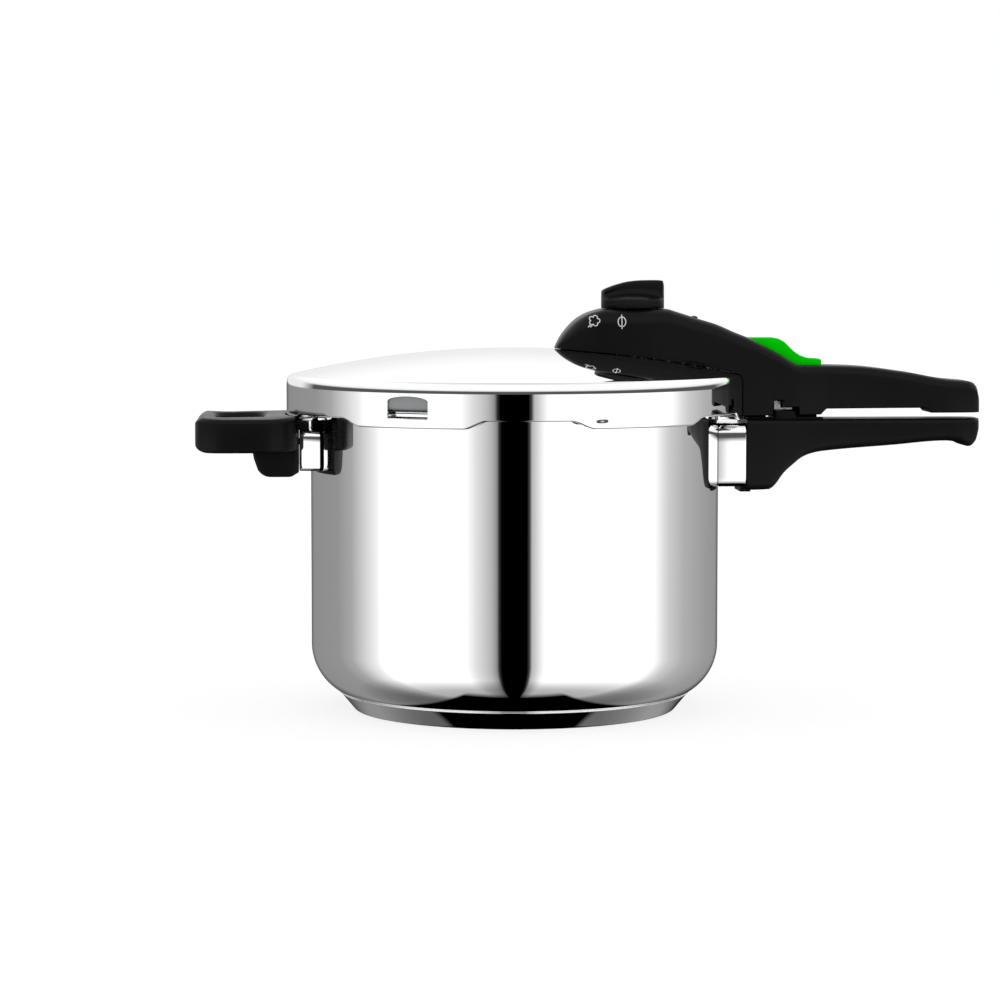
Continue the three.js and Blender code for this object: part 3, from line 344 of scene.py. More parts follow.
def baked(piece):
    """The piece with its modifiers applied to its mesh."""
    graph = bpy.context.evaluated_depsgraph_get()
    graph.update()
    mesh = bpy.data.meshes.new_from_object(piece.evaluated_get(graph))
    old = piece.data
    piece.modifiers.clear()
    piece.data = mesh
    bpy.data.meshes.remove(old)
    return piece


def soften(piece, degrees=32):
    piece.data.shade_smooth()
    piece.data.set_sharp_from_angle(angle=math.radians(degrees))


def finished(piece, body, slot, nodes=(), degrees=32):
    """Gives a piece its finish and puts it on its body."""
    soften(piece, degrees)
    piece.data.materials.clear()
    piece.data.materials.append(material(slot))
    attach(piece, body)
    if nodes:
        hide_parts(*nodes)
    return piece


def arc(centre_x, centre_y, radius, start, end, steps, radius_y=None):
    """Points on an arc, in degrees."""
    turns = [math.radians(start + (end - start) * i / steps) for i in range(steps + 1)]
    tall = radius if radius_y is None else radius_y
    return [(centre_x + radius * math.cos(t), centre_y + tall * math.sin(t)) for t in turns]


def anticlockwise(outline):
    xs, ys = np.array(outline).T
    area = np.sum(xs * np.roll(ys, -1) - np.roll(xs, -1) * ys)
    return outline if area > 0 else outline[::-1]


def new_tree(name, start, kind, sizes):
    """A tree with its start geometry, its named sizes and its material as inputs."""
    face_of = bpy.data.node_groups.new(name, "GeometryNodeTree")
    inputs = [(start, "Geometry"), *((size, kind) for size in sizes), ("Material",) * 2]
    for label, socket in inputs:
        face_of.interface.new_socket(
            label, in_out="INPUT", socket_type="NodeSocket" + socket
        )
    face_of.interface.new_socket(
        "Piece", in_out="OUTPUT", socket_type="NodeSocketGeometry"
    )
    nodes = Nodes(face_of)
    return nodes, nodes.add("NodeGroupInput").outputs


def end_tree(nodes, geometry, slot):
    """Ends a tree in real geometry with its material."""
    real = nodes.add("GeometryNodeRealizeInstances", {0: geometry}).outputs[0]
    dressed = nodes.add("GeometryNodeSetMaterial", {0: real, "Material": slot})
    nodes.add("NodeGroupOutput", {0: dressed.outputs[0]})
    return nodes.tree


def turned_tree():
    """Geometry Nodes that turn a profile of points about Z."""
    nodes, source = new_tree("turned_piece", "Profile", "Int", ("Sides",))
    profile, sides = source["Profile"], source["Sides"]
    domain = nodes.add("GeometryNodeAttributeDomainSize", {0: profile})
    count = domain.outputs["Point Count"]
    columns = nodes.math("ADD", sides, 1)
    size = {"Vertices X": columns, "Vertices Y": count}
    grid = nodes.add("GeometryNodeMeshGrid", size).outputs[0]
    index = nodes.add("GeometryNodeInputIndex").outputs[0]
    along = nodes.math("MODULO", index, count)
    column = nodes.math("FLOOR", nodes.math("DIVIDE", index, count))
    turn = nodes.math("MULTIPLY", nodes.math("DIVIDE", column, sides), 2 * math.pi)
    position = nodes.add("GeometryNodeInputPosition").outputs[0]
    sample = nodes.add(
        "GeometryNodeSampleIndex",
        {"Geometry": profile, "Value": position, "Index": along},
        data_type="FLOAT_VECTOR",
    )
    parts = nodes.add("ShaderNodeSeparateXYZ", {0: sample.outputs[0]}).outputs
    placed = nodes.add(
        "ShaderNodeCombineXYZ",
        {
            0: nodes.math("MULTIPLY", parts[0], nodes.math("COSINE", turn)),
            1: nodes.math("MULTIPLY", parts[0], nodes.math("SINE", turn)),
            2: parts[2],
        },
    ).outputs[0]
    moved = {"Geometry": grid, "Position": placed}
    shaped = nodes.add("GeometryNodeSetPosition", moved).outputs[0]
    near = {"Geometry": shaped, "Distance": 1e-7}
    merged = nodes.add("GeometryNodeMergeByDistance", near).outputs[0]
    return end_tree(nodes, merged, source["Material"])


def with_tree(piece, tree, slot, **inputs):
    """Runs a Geometry Nodes tree on a piece and keeps the result as a plain mesh."""
    modifier = piece.modifiers.new(tree.name, "NODES")
    modifier.node_group = tree
    items = tree.interface.items_tree
    sockets = {item.name: item.identifier for item in items if item.in_out == "INPUT"}
    modifier[sockets["Material"]] = material(slot)
    for name, value in inputs.items():
        modifier[sockets[name.replace("_", " ").capitalize()]] = value
    return baked(piece)


def tree(name, make):
    return bpy.data.node_groups.get(name) or make()


def turned(name, profile, slot, sides=SMALL_SIDES, place=(0, 0)):
    """A profile of (radius, height) points turned about an upright axis."""
    outline = anticlockwise(list(profile))
    if outline[0][0] > 0:
        outline.append(outline[0])
    piece = from_arrays(name, [(r, 0, z) for r, z in outline], [])
    piece = with_tree(piece, tree("turned_piece", turned_tree), slot, sides=sides)
    return shifted(piece, (*place, 0))


def turned_on(name, profile, body, slot, nodes, x=0, sides=SMALL_SIDES, degrees=32):
    """A turned piece about the upright axis at x, finished and put on its body."""
    piece = turned(name, profile, slot, sides, (x, 0))
    return finished(piece, body, slot, nodes, degrees)


def shifted(piece, step):
    for vertex in piece.data.vertices:
        vertex.co += Vector(step) * MM
    return piece


def reshaped(piece, change):
    """Moves a piece's points: change takes and returns radius, azimuth and height."""
    count = len(piece.data.vertices)
    flat = np.empty(count * 3)
    piece.data.vertices.foreach_get("co", flat)
    x, y, z = flat.reshape(-1, 3).T / MM
    radius, azimuth, height = change(np.hypot(x, y), np.degrees(np.arctan2(y, x)), z)
    turn = np.radians(azimuth)
    moved = np.stack([radius * np.cos(turn), radius * np.sin(turn), height], axis=1) * MM
    piece.data.vertices.foreach_set("co", moved.ravel())
    piece.data.update()
    return piece


def skinned(name, points, count):
    """Skin over closed rings of count points each, closed by flat ends."""
    last = len(points) - count
    faces = []
    for start in range(0, last, count):
        for j in range(count):
            k = (j + 1) % count
            faces.append((start + j, start + k, start + count + k, start + count + j))
    faces.append(tuple(range(count - 1, -1, -1)))
    faces.append(tuple(range(last, last + count)))
    return from_arrays(name, points, faces)


def lofted(name, stations):
    """Skin over closed sections [(y, z), ...] at rising x."""
    points = [(x, y, z) for x, section in stations for y, z in section]
    return skinned(name, points, len(stations[0][1]))


def box_section(half, bottom, top, low_radius, high_radius, steps=7):
    """Rounded box section seen from +X, anticlockwise."""
    limit = 0.96 * min(half, (top - bottom) / 2)
    a, b = min(low_radius, limit), min(high_radius, limit)
    return [
        *arc(-half + a, bottom + a, a, 180, 270, steps),
        *arc(half - a, bottom + a, a, 270, 360, steps),
        *arc(half - b, top - b, b, 0, 90, steps),
        *arc(-half + b, top - b, b, 90, 180, steps),
    ]


# Where an outline's two places and its depth go, for each axis it is pushed along.
ORDER = {
    "x": lambda u, v, depth: (depth, u, v),
    "y": lambda u, v, depth: (u, depth, v),
    "z": lambda u, v, depth: (u, v, depth),
}


def prism(name, outline, axis, start, end):
    """An outline pushed along an axis: (x, y) along z, (x, z) along y or (y, z) along x."""
    outline = anticlockwise(list(outline))
    count = len(outline)
    ends = (end, start) if axis == "y" else (start, end)
    points = [ORDER[axis](u, v, depth) for depth in ends for u, v in outline]
    caps = [tuple(range(count - 1, -1, -1)), tuple(range(count, 2 * count))]
    sides = [
        (i, (i + 1) % count, count + (i + 1) % count, count + i) for i in range(count)
    ]
    return from_arrays(name, points, caps + sides)


def inset_outline(outline, distance):
    """An anticlockwise outline moved inwards along its corners' normals."""
    points = np.array(outline)
    ahead = np.roll(points, -1, axis=0) - points
    ahead /= np.linalg.norm(ahead, axis=1)[:, None]
    behind = np.roll(ahead, 1, axis=0)
    normal = np.stack([-(ahead + behind)[:, 1], (ahead + behind)[:, 0]], axis=1)
    normal /= np.maximum(np.linalg.norm(normal, axis=1), 1e-9)[:, None]
    side = np.stack([-ahead[:, 1], ahead[:, 0]], axis=1)
    spread = np.maximum(np.einsum("ij,ij->i", normal, side), 0.5)
    return points + normal * (distance / spread)[:, None]


def rounding(radius, start, end, steps):
    """Rings (inset, depth) that round both rims of a piece from start to end."""
    turns = [math.radians(90 * i / steps) for i in range(steps + 1)]
    rims = [(radius * (1 - math.sin(t)), radius * (1 - math.cos(t))) for t in turns]
    first = [(inset, start + depth) for inset, depth in rims]
    return first + [(inset, end - depth) for inset, depth in rims[::-1]]


def pillow(name, outline, axis, start, end, radius, steps=5):
    """A prism whose two rims are rounded."""
    outline = anticlockwise(list(outline))
    rings = rounding(radius, start, end, steps)
    if axis == "y":
        rings.reverse()
    points = [
        ORDER[axis](u, v, depth)
        for inset, depth in rings
        for u, v in inset_outline(outline, inset)
    ]
    return skinned(name, points, len(outline))


def rounded(outline, radius, steps=6):
    """An outline of corners with each corner rounded."""
    corners = np.array(outline, float)
    result = []
    for i, corner in enumerate(corners):
        before, after = corners[i - 1] - corner, corners[(i + 1) % len(corners)] - corner
        spans = np.linalg.norm(before), np.linalg.norm(after)
        reach = min(radius, spans[0] / 2.02, spans[1] / 2.02)
        start = corner + before / spans[0] * reach
        end = corner + after / spans[1] * reach
        for k in range(steps + 1):
            t = k / steps
            point = (1 - t) ** 2 * start + 2 * t * (1 - t) * corner + t * t * end
            result.append(tuple(point))
    return result


def box_outline(left, right, bottom, top):
    return [(left, bottom), (right, bottom), (right, top), (left, top)]


def block(name, x0, x1, y0, y1, z0, z1):
    return prism(name, box_outline(x0, x1, y0, y1), "z", z0, z1)


def post(radius, start, end, place=(0, 0), sides=SMALL_SIDES):
    """An upright cylinder for cutting."""
    ring = arc(0, 0, radius, 0, 360, sides)[:-1]
    outline = [(place[0] + x, place[1] + y) for x, y in ring]
    return prism("post", outline, "z", start, end)


def bar(radius, start, end, height, sides=SMALL_SIDES):
    """A cylinder along X for cutting."""
    return prism("bar", arc(0, height, radius, 0, 360, sides)[:-1], "x", start, end)


def combined(piece, tools, operation):
    for tool in tools:
        modifier = piece.modifiers.new("join", "BOOLEAN")
        modifier.operation = operation
        modifier.solver = "EXACT"
        modifier.object = tool
    baked(piece)
    for tool in tools:
        mesh = tool.data
        bpy.data.objects.remove(tool)
        bpy.data.meshes.remove(mesh)
    return piece


def carved(piece, *tools):
    return combined(piece, tools, "DIFFERENCE")


def common(piece, *tools):
    return combined(piece, tools, "INTERSECT")


def united(piece, *tools):
    return combined(piece, tools, "UNION")


def eased(points, place):
    """Value of a smooth curve through (place, value) points, without overshoot."""
    xs, ys = np.array(points, float).T
    steps = np.diff(xs)
    slopes = np.diff(ys) / steps
    tangents = np.empty_like(ys)
    tangents[0], tangents[-1] = slopes[0], slopes[-1]
    product = slopes[:-1] * slopes[1:]
    total = np.where(product > 0, slopes[:-1] + slopes[1:], 1)
    tangents[1:-1] = np.where(product > 0, 2 * product / total, 0)
    i = int(np.clip(np.searchsorted(xs, place) - 1, 0, len(steps) - 1))
    t = min(max((place - xs[i]) / steps[i], 0), 1)
    return (
        (1 + 2 * t) * (1 - t) ** 2 * ys[i]
        + t * (1 - t) ** 2 * steps[i] * tangents[i]
        + t * t * (3 - 2 * t) * ys[i + 1]
        - t * t * (1 - t) * steps[i] * tangents[i + 1]
    )


def smooth_step(value, start, end):
    t = np.clip((value - start) / (end - start), 0, 1)
    return t * t * (3 - 2 * t)


def off_tab(azimuth):
    """Degrees from the nearest tab's middle."""
    pitch = 360 / TABS
    return np.abs((azimuth + pitch / 2) % pitch - pitch / 2)


# ------------------------------------------------------------------------------
# Pot
# ------------------------------------------------------------------------------


def pot_underside(corner, radius):
    across = max(0, radius - (POT_RADIUS - corner))
    return POT_FLOOR + corner - math.sqrt(corner**2 - across**2)


def make_pot(sizes):
    wall, corner, neck = sizes.wall / MM, sizes.corner / MM, sizes.neck / MM
    inner = POT_RADIUS - wall
    centre = POT_RADIUS - corner
    flange, lip_low, lug = 1.2, RIM - 4.1, LUG_RADIUS
    rows = [(POT_RADIUS, POT_FLOOR + corner + i * 9) for i in range(1, 14)]
    rim = [
        (POT_RADIUS, RIM - flange - 2.2),
        *arc(POT_RADIUS + 1, RIM - flange - 1, 1, 180, 90, 4),
        (POT_RADIUS + 4, RIM - flange),
        (lug - flange - 0.5, RIM - flange),
        (lug - flange, RIM - flange - 0.5),
        (lug - flange, lip_low + 0.3),
        *arc(lug - flange / 2, lip_low + 0.4, flange / 2, 180, 360, 6, 0.4),
        (lug, RIM - 1.2),
        *arc(lug - 1.2, RIM - 1.2, 1.2, 0, 90, 5),
        (POT_RADIUS + 3, RIM),
        *arc(inner + 0.6, RIM - 0.6, 0.6, 90, 180, 4),
    ]
    inside = [(inner, z) for _, z in rows[::-1]]
    shell = [
        (0, POT_FLOOR),
        *arc(centre, POT_FLOOR + corner, corner, 270, 360, 28),
        *rows,
        *rim,
        *inside,
        *arc(centre, POT_FLOOR + corner, corner - wall, 0, -90, 20),
        (0, POT_FLOOR + wall),
    ]
    piece = turned("pot_body", shell, "polished_steel", SIDES)
    neck_radius = inner + neck
    half = math.degrees(sizes.lug_half)

    def lugs(radius, azimuth, height):
        out = 1 - smooth_step(off_tab(azimuth), half - 0.9, half + 0.3)
        beyond = radius > neck_radius
        lip = beyond & (height < RIM - flange)
        radius = np.where(beyond, neck_radius + (radius - neck_radius) * out, radius)
        height = np.where(lip, RIM - flange + (height - RIM + flange) * out, height)
        return radius, azimuth, height

    return finished(reshaped(piece, lugs), "pot", "polished_steel", ["pot_shell"], 50)


def make_base(sizes):
    corner, foot = sizes.corner / MM, sizes.foot / MM
    wall = 0.8
    seam = pot_underside(corner, SEAM_RADIUS) - SEAT_GAP
    inner = SEAM_RADIUS - 1.1
    edge = 2.6
    cup = [
        (0, 0),
        (foot - 1, 0),
        *arc(foot - 0.2, edge, edge, 270, 318, 6),
        (SEAM_RADIUS - 0.35, seam - 0.75),
        *arc(SEAM_RADIUS - 0.4, seam - 0.35, 0.4, -30, 100, 5),
        (inner, pot_underside(corner, inner) - 0.42),
        (foot + 1, edge),
        (foot - 1, wall),
        (0, wall),
    ]
    turned_on("base_cup_steel", cup, "pot", "polished_steel", ["base_cup"], 0, SIDES, 40)
    low_face, high_face = wall + SEAT_GAP, POT_FLOOR - SEAT_GAP
    disc = [
        (0, low_face),
        (foot - 1.6, low_face),
        (foot - 1, low_face + 0.5),
        (foot + 1.2, high_face - 0.4),
        (foot + 0.8, high_face),
        (0, high_face),
    ]
    turned_on("base_disc", disc, "pot", "base_aluminium", ["base_core"], 0, 180)


# ------------------------------------------------------------------------------
# Lid
# ------------------------------------------------------------------------------


def dome_height(sizes, radius):
    edge = LID_RADIUS - sizes.shoulder_width / MM
    return APEX - sizes.dome_rise / MM * (radius / edge) ** 2


def lid_surface(sizes, distance, rings=40, steps=12):
    """The lid's outer surface from apex to skirt, moved out by a distance."""
    width, depth = sizes.shoulder_width / MM, sizes.shoulder_depth / MM
    edge = LID_RADIUS - width
    radii = [edge * i / rings for i in range(rings)]
    dome = [(radius, dome_height(sizes, radius) + distance) for radius in radii]
    bottom = APEX - sizes.dome_rise / MM - depth
    return dome + arc(edge, bottom, width + distance, 90, 0, steps, depth + distance)


def make_lid(sizes):
    wall = sizes.wall / MM
    depth = sizes.recess_depth / MM
    shoulder = APEX - (sizes.dome_rise + sizes.shoulder_depth) / MM
    inner = LID_RADIUS - wall
    hook_top, hook_inner = TAB_EDGE + 2.2, inner - 10.4
    rows = 22
    skirt = [shoulder + (TAB_EDGE + 1.4 - shoulder) * i / rows for i in range(1, rows + 1)]
    rim = [
        *arc(LID_RADIUS - 1.2, TAB_EDGE + 1.2, 1.2, 0, -90, 6),
        (inner - 2, TAB_EDGE),
        (hook_inner + 1, TAB_EDGE),
        *arc(hook_inner + 1, TAB_EDGE + 1.1, 1.1, -90, -270, 8),
        (inner - 1.5, hook_top),
        *arc(inner - 1, hook_top + 1, 1, -90, 0, 4),
    ]
    profile = [
        *lid_surface(sizes, 0),
        *[(LID_RADIUS, z) for z in skirt],
        *rim,
        *[(inner, max(z, hook_top + 1.2)) for z in skirt[::-1]],
        *lid_surface(sizes, -wall)[::-1],
    ]
    piece = turned("lid_steel", profile, "polished_steel", 2 * SIDES)
    recess_half = math.degrees(sizes.recess_half)
    stamp_azimuth, stamp_half, stamp_depth = -72.5, 1.9, 0.22
    stamp_low, stamp_high = RIM - 4.6, RIM + 0.7

    def tabs(radius, azimuth, height):
        between = 180 / TABS - off_tab(azimuth)
        rise = depth * (1 - smooth_step(between, recess_half - 3, recess_half + 3))
        bottom_zone = 1 - np.clip((height - TAB_EDGE) / (shoulder - TAB_EDGE), 0, 1)
        hook = radius < inner - 0.2
        near = height < hook_top + 0.1
        reach = 1 - smooth_step(off_tab(azimuth), 12.1, 13.1)
        pulled = inner - (inner - radius) * np.maximum(reach, 0.06)
        radius = np.where(hook & near, pulled, radius)
        height = height + rise * bottom_zone
        across = (azimuth - stamp_azimuth) / stamp_half
        inside = (np.abs(across) < 1) & (height > stamp_low) & (height < stamp_high)
        inside &= radius > inner + wall / 2
        pressed = np.where(inside, np.cos(across * math.pi / 2) ** 2, 0)
        return radius - stamp_depth * pressed, azimuth, height

    reshaped(piece, tabs)
    half = sizes.window_width / MM / 2
    sill, top = RIM - 4.1, RIM + 7.6
    opening = [(-half, sill), (half, sill), *arc(0, top - 2.6, half, 0, 180, 14, 2.6)]
    opening = rounded(opening, 0.6, 2)
    slot = prism("window_cutter", opening, "x", LUG_RADIUS + 1, LID_RADIUS + 4)
    slot.data.transform(turn_about_z(240))
    holes = [
        post(5.3, shoulder, APEX + 1, (KNOB_X, 0)),
        post(4.9, shoulder, APEX + 1, (SAFETY_X, 0)),
        post(4.3, shoulder, APEX + 1, (PIN_X, 0)),
        post(SCREW_BORE, shoulder, APEX + 1, (NOSE_SCREW_X, 0)),
    ]
    carved(piece, slot, *holes)
    finished(piece, "lid", "polished_steel", ["lid_shell"], 50)


def turn_about_z(degrees):
    return Matrix.Rotation(math.radians(degrees), 4, "Z")


def make_gasket(sizes):
    inner, outer = low_radius("gasket"), high("gasket", 0)
    base, roof = low("gasket", 2), high("gasket", 2)
    shoulder = APEX - (sizes.dome_rise + sizes.shoulder_depth) / MM
    section = [
        (inner + 5, base),
        (outer - 4, base),
        *arc(outer - 2.2, base + 2.2, 2.2, -80, 0, 5),
        (outer, shoulder - 1.6),
        *arc(outer - 2, shoulder - 1.2, 2, 0, 70, 5),
        (inner + 1, roof),
        (inner, roof - 0.8),
        (inner + 0.4, roof - 1.7),
        (outer - 6.4, shoulder - 0.8),
        *arc(outer - 6, shoulder - 2.6, 1.2, 90, 180, 4),
        *arc(outer - 6, base + 6, 1.2, 180, 270, 4),
        (inner + 0.4, base + 3.6),
        (inner, base + 2.6),
    ]
    turned_on("sealing_ring", section, "lid", "seal_rubber", ["gasket"], 0, 240)


def low_radius(node):
    """Smallest radius of a node's points about the pot's axis."""
    points = [v.co for v in frame["nodes"][node].data.vertices]
    return min(math.hypot(p.x, p.y) for p in points) / MM


# ------------------------------------------------------------------------------
# Long handle
# ------------------------------------------------------------------------------

# Side views: distance out from the skirt's face, and height above the pot's rim.
COVER_TOP = [
    (-102.4, 28.5), (-101, 31.4), (-98.9, 35), (-96.4, 38.5), (-93.7, 41.5),
    (-91.2, 43.8), (-88.6, 45.7), (-83.9, 48.1), (-79.1, 49.6), (-76.4, 50.3),
    (-42.1, 50.3), (-38, 49.2), (-33.5, 47.8), (-25.2, 45.1), (-15.6, 42.2),
    (-5.4, 37.8), (3.3, 34.3), (11.7, 30), (21.7, 24.5), (26, 21.7), (28.8, 20.3),
    (31, 19.9), (42.1, 19.7), (60.6, 19.2), (89.9, 15.8), (111.3, 12), (124.1, 10.8),
    (127, 9.8), (128.8, 8), (130.3, 4),
]
COVER_BOTTOM = [
    (-102.4, 6), (-30, 6), (-25, -7.9), (42.3, -7), (44.9, -3.9), (100.4, -3.6),
    (103, -6.3), (130.3, -6.3),
]
COVER_HALF = [
    (-102.4, 1), (-101.6, 5.2), (-100.4, 8.2), (-98.9, 10.8), (-96.4, 13.2),
    (-93.7, 15.2), (-88.6, 17.8), (-79.1, 20.2), (-68, 21), (-54, 21), (-34, 20),
    (-14, 19), (1, 18.5), (26, 17.5), (46, 15), (76, 14), (111, 14.5), (124.1, 13),
    (127, 12), (128.8, 10.6), (130.3, 8),
]
COVER_ROUND = [
    (-102.4, 0.6), (-98.9, 4), (-93.7, 7), (-76.4, 8), (-42.1, 8), (-5.4, 7), (28.8, 5),
    (130.3, 5),
]
POT_HANDLE_BOTTOM = [
    (1.1, -47.5), (3, -47.9), (14, -47.6), (16, -46.4), (18.5, -43.6), (21.7, -39.2),
    (27, -34.4), (32.8, -30.1), (38, -28.2), (43.7, -27.1), (82, -24), (111.6, -21.7),
    (118, -22.5), (122, -24.4), (124.6, -24.9), (127.4, -23.4), (129.2, -20.6),
    (130, -18),
]
POT_HANDLE_HALF = [
    (1.1, 20), (15.5, 18.5), (36, 15.5), (76, 14), (116, 14.5), (127.4, 12.6), (130, 9),
]

SLIDER_SIDE = [
    (-0.6, 34.5), (17.6, 34.5), (19.4, 34.1), (22.4, 32.6), (25.2, 29.9), (28, 27.2),
    (31, 25.2), (34.4, 23.9), (37.9, 23.2), (42.4, 23), (43, 22.4), (43, 17.4),
    (26, 17.4), (-0.6, 27.5),
]


def placed(outline):
    return [(LID_RADIUS + out, RIM + up) for out, up in outline]


def out_block(name, near, far, right, left, bottom, top):
    """A block placed as the side views are."""
    x = LID_RADIUS + near, LID_RADIUS + far
    return block(name, *x, right, left, RIM + bottom, RIM + top)


def places(first, last, step):
    """Places along the handle, closer together near both ends."""
    count = int((last - first) / step)
    inner = [first + (last - first) * i / count for i in range(1, count)]
    near = [0, 0.15, 0.4, 0.8, 1.4]
    ends = [first + step for step in near] + [last - step for step in near]
    return sorted({*inner, *ends})


def cover_stations(first, last, inset, bottom=None):
    stations = []
    for out in places(first, last, 1.6):
        half = max(eased(COVER_HALF, out) - inset, 0.6)
        floor = RIM + np.interp(out, *zip(*COVER_BOTTOM)) if bottom is None else bottom
        top = RIM + eased(COVER_TOP, out) - inset
        edge = max(eased(COVER_ROUND, out) - inset, 0.4)
        stations.append((LID_RADIUS + out, box_section(half, floor, top, 1.2, edge)))
    return stations


def below_lid(sizes, distance):
    profile = [*lid_surface(sizes, distance), (LID_RADIUS + distance, 100), (0, 100)]
    return turned("lid_cutter", profile, "polished_steel", 180)


def make_cover(lid_sizes, sizes):
    wall = sizes.cover_wall / MM
    cover = lofted("valve_cover", cover_stations(COVER_TOP[0][0], COVER_TOP[-1][0], 0))
    cavity = lofted("cavity", cover_stations(COVER_TOP[0][0] + 3.5, -12, wall, RIM - 10))
    carved(cavity, post(4.5, RIM - 20, APEX + 30, (NOSE_SCREW_X, 0)))
    slider_low, gap, reach = 17.4, 0.5, 8.5
    channel = [
        (-0.6 - reach, 35),
        (43.5, 35),
        (43.5, slider_low - gap),
        (26 - reach, slider_low - gap),
        (-0.6 - reach, 27),
    ]
    notch_low = -9.5
    slots = [
        out_block("post_slot", 25.6, 40.6, -3.5, 3.5, -2.2, 18),
        out_block("bolt_slot", 16.1, 42.5, -3.9, 3.9, -12, 0.7),
        out_block("low_notch", 15.3, 30.1, -30, 15, notch_low, -2.5),
        out_block("high_notch", 15.3, 21.7, -30, 15, notch_low, 1.2),
        out_block("foot_notch", 15.4, 30, -9, 9, notch_low, -1.2),
    ]
    bracket_side = [(-18, 21.6), (-2, 17.6), (14.5, 16.6), (14.5, 13.2), (-18, 13.2)]
    insert = rounded(box_outline(LID_RADIUS + 48, LID_RADIUS + 98.5, -9.5, 9.5), 4)
    vent = [(-32, 3), (-22, 3), (-22, 20.5), (-24, 21.5), (-30, 22.6), (-32, 21.8)]
    united(cover, out_block("rail", 2, 43.5, 9, 12.5, -9.35, -6))
    carved(
        cover,
        below_lid(lid_sizes, SEAT_GAP + 0.1),
        cavity,
        prism("slider_channel", placed(channel), "y", -9.5, 9.5),
        *slots,
        prism("bracket_room", placed(bracket_side), "y", -9.5, 9.5),
        prism("insert_room", insert, "z", RIM - 8, RIM + 9),
        prism("vent", placed(vent), "y", -30, -17.4),
        post(4.8, RIM + 40, RIM + 60, (KNOB_X, 0)),
        post(2.6, RIM + 40, RIM + 60, (PIN_X, 0)),
        post(SCREW_BORE, RIM, RIM + 40, (NOSE_SCREW_X, 0)),
        post(SCREW_BORE, RIM - 12, RIM + 14, (HEEL_SCREW_X, 0)),
        post(HEAD_BORE, RIM - 12, RIM - 2.7, (HEEL_SCREW_X, 0)),
    )
    finished(cover, "lid", "black_moulding", ["handle_cover"], 30)
    return cover


def make_insert():
    base = low("handle_base", 2)
    outline = rounded(box_outline(LID_RADIUS + 48.3, LID_RADIUS + 98.2, -9.2, 9.2), 4)
    plate = pillow("grip_insert", outline, "z", base, base + 2.5, 0.5, 3)
    starts = [LID_RADIUS + out for out in (60, 75, 90)]
    ribs = [block("rib", x, x + 2, -7, 7, base + 2, base + 6) for x in starts]
    finished(united(plate, *ribs), "lid", "black_moulding", ["handle_base"])


def make_pot_handle():
    top = RIM - 9.5
    stations = []
    for out in places(1.1, 130, 1.6):
        half, bottom = eased(POT_HANDLE_HALF, out), RIM + eased(POT_HANDLE_BOTTOM, out)
        stations.append((LID_RADIUS + out, box_section(half, bottom, top, 5, 2.5)))
    handle = lofted("pot_grip", stations)
    root = LID_RADIUS + 1.1
    screw = RIM - 37.5
    tongue = block("tongue", root - 8, root + 1, -13, 13, screw + 8, RIM - 14.5)
    lip = block("lip", root - 2.6, root + 3, -12, 12, RIM - 49, RIM - 46.3)
    keeper_plan = box_outline(LID_RADIUS + 17.1, LID_RADIUS + 28.7, -14, 14)
    keeper_plan = rounded(keeper_plan, 1.2, 4)
    keeper = pillow("keeper", keeper_plan, "z", top - 2, RIM - 4.8, 0.6, 3)
    rail = block("rail", LID_RADIUS + 2, LID_RADIUS + 43.5, -12.5, -9, top - 1, top + 1.1)
    united(handle, tongue, lip, keeper, rail)
    seat = LID_RADIUS + 13.2
    carved(
        handle,
        bar(SCREW_BORE, root - 10, seat + 1, screw),
        bar(HEAD_BORE, seat, seat + 30, screw),
        post(1.1, top, RIM, (LID_RADIUS + 24.1, 0)),
    )
    finished(handle, "pot", "black_moulding", ["pot_handle"], 30)


# ------------------------------------------------------------------------------
# Helper handle and flame guards
# ------------------------------------------------------------------------------


def half_turn(piece):
    piece.data.transform(turn_about_z(180))
    return piece


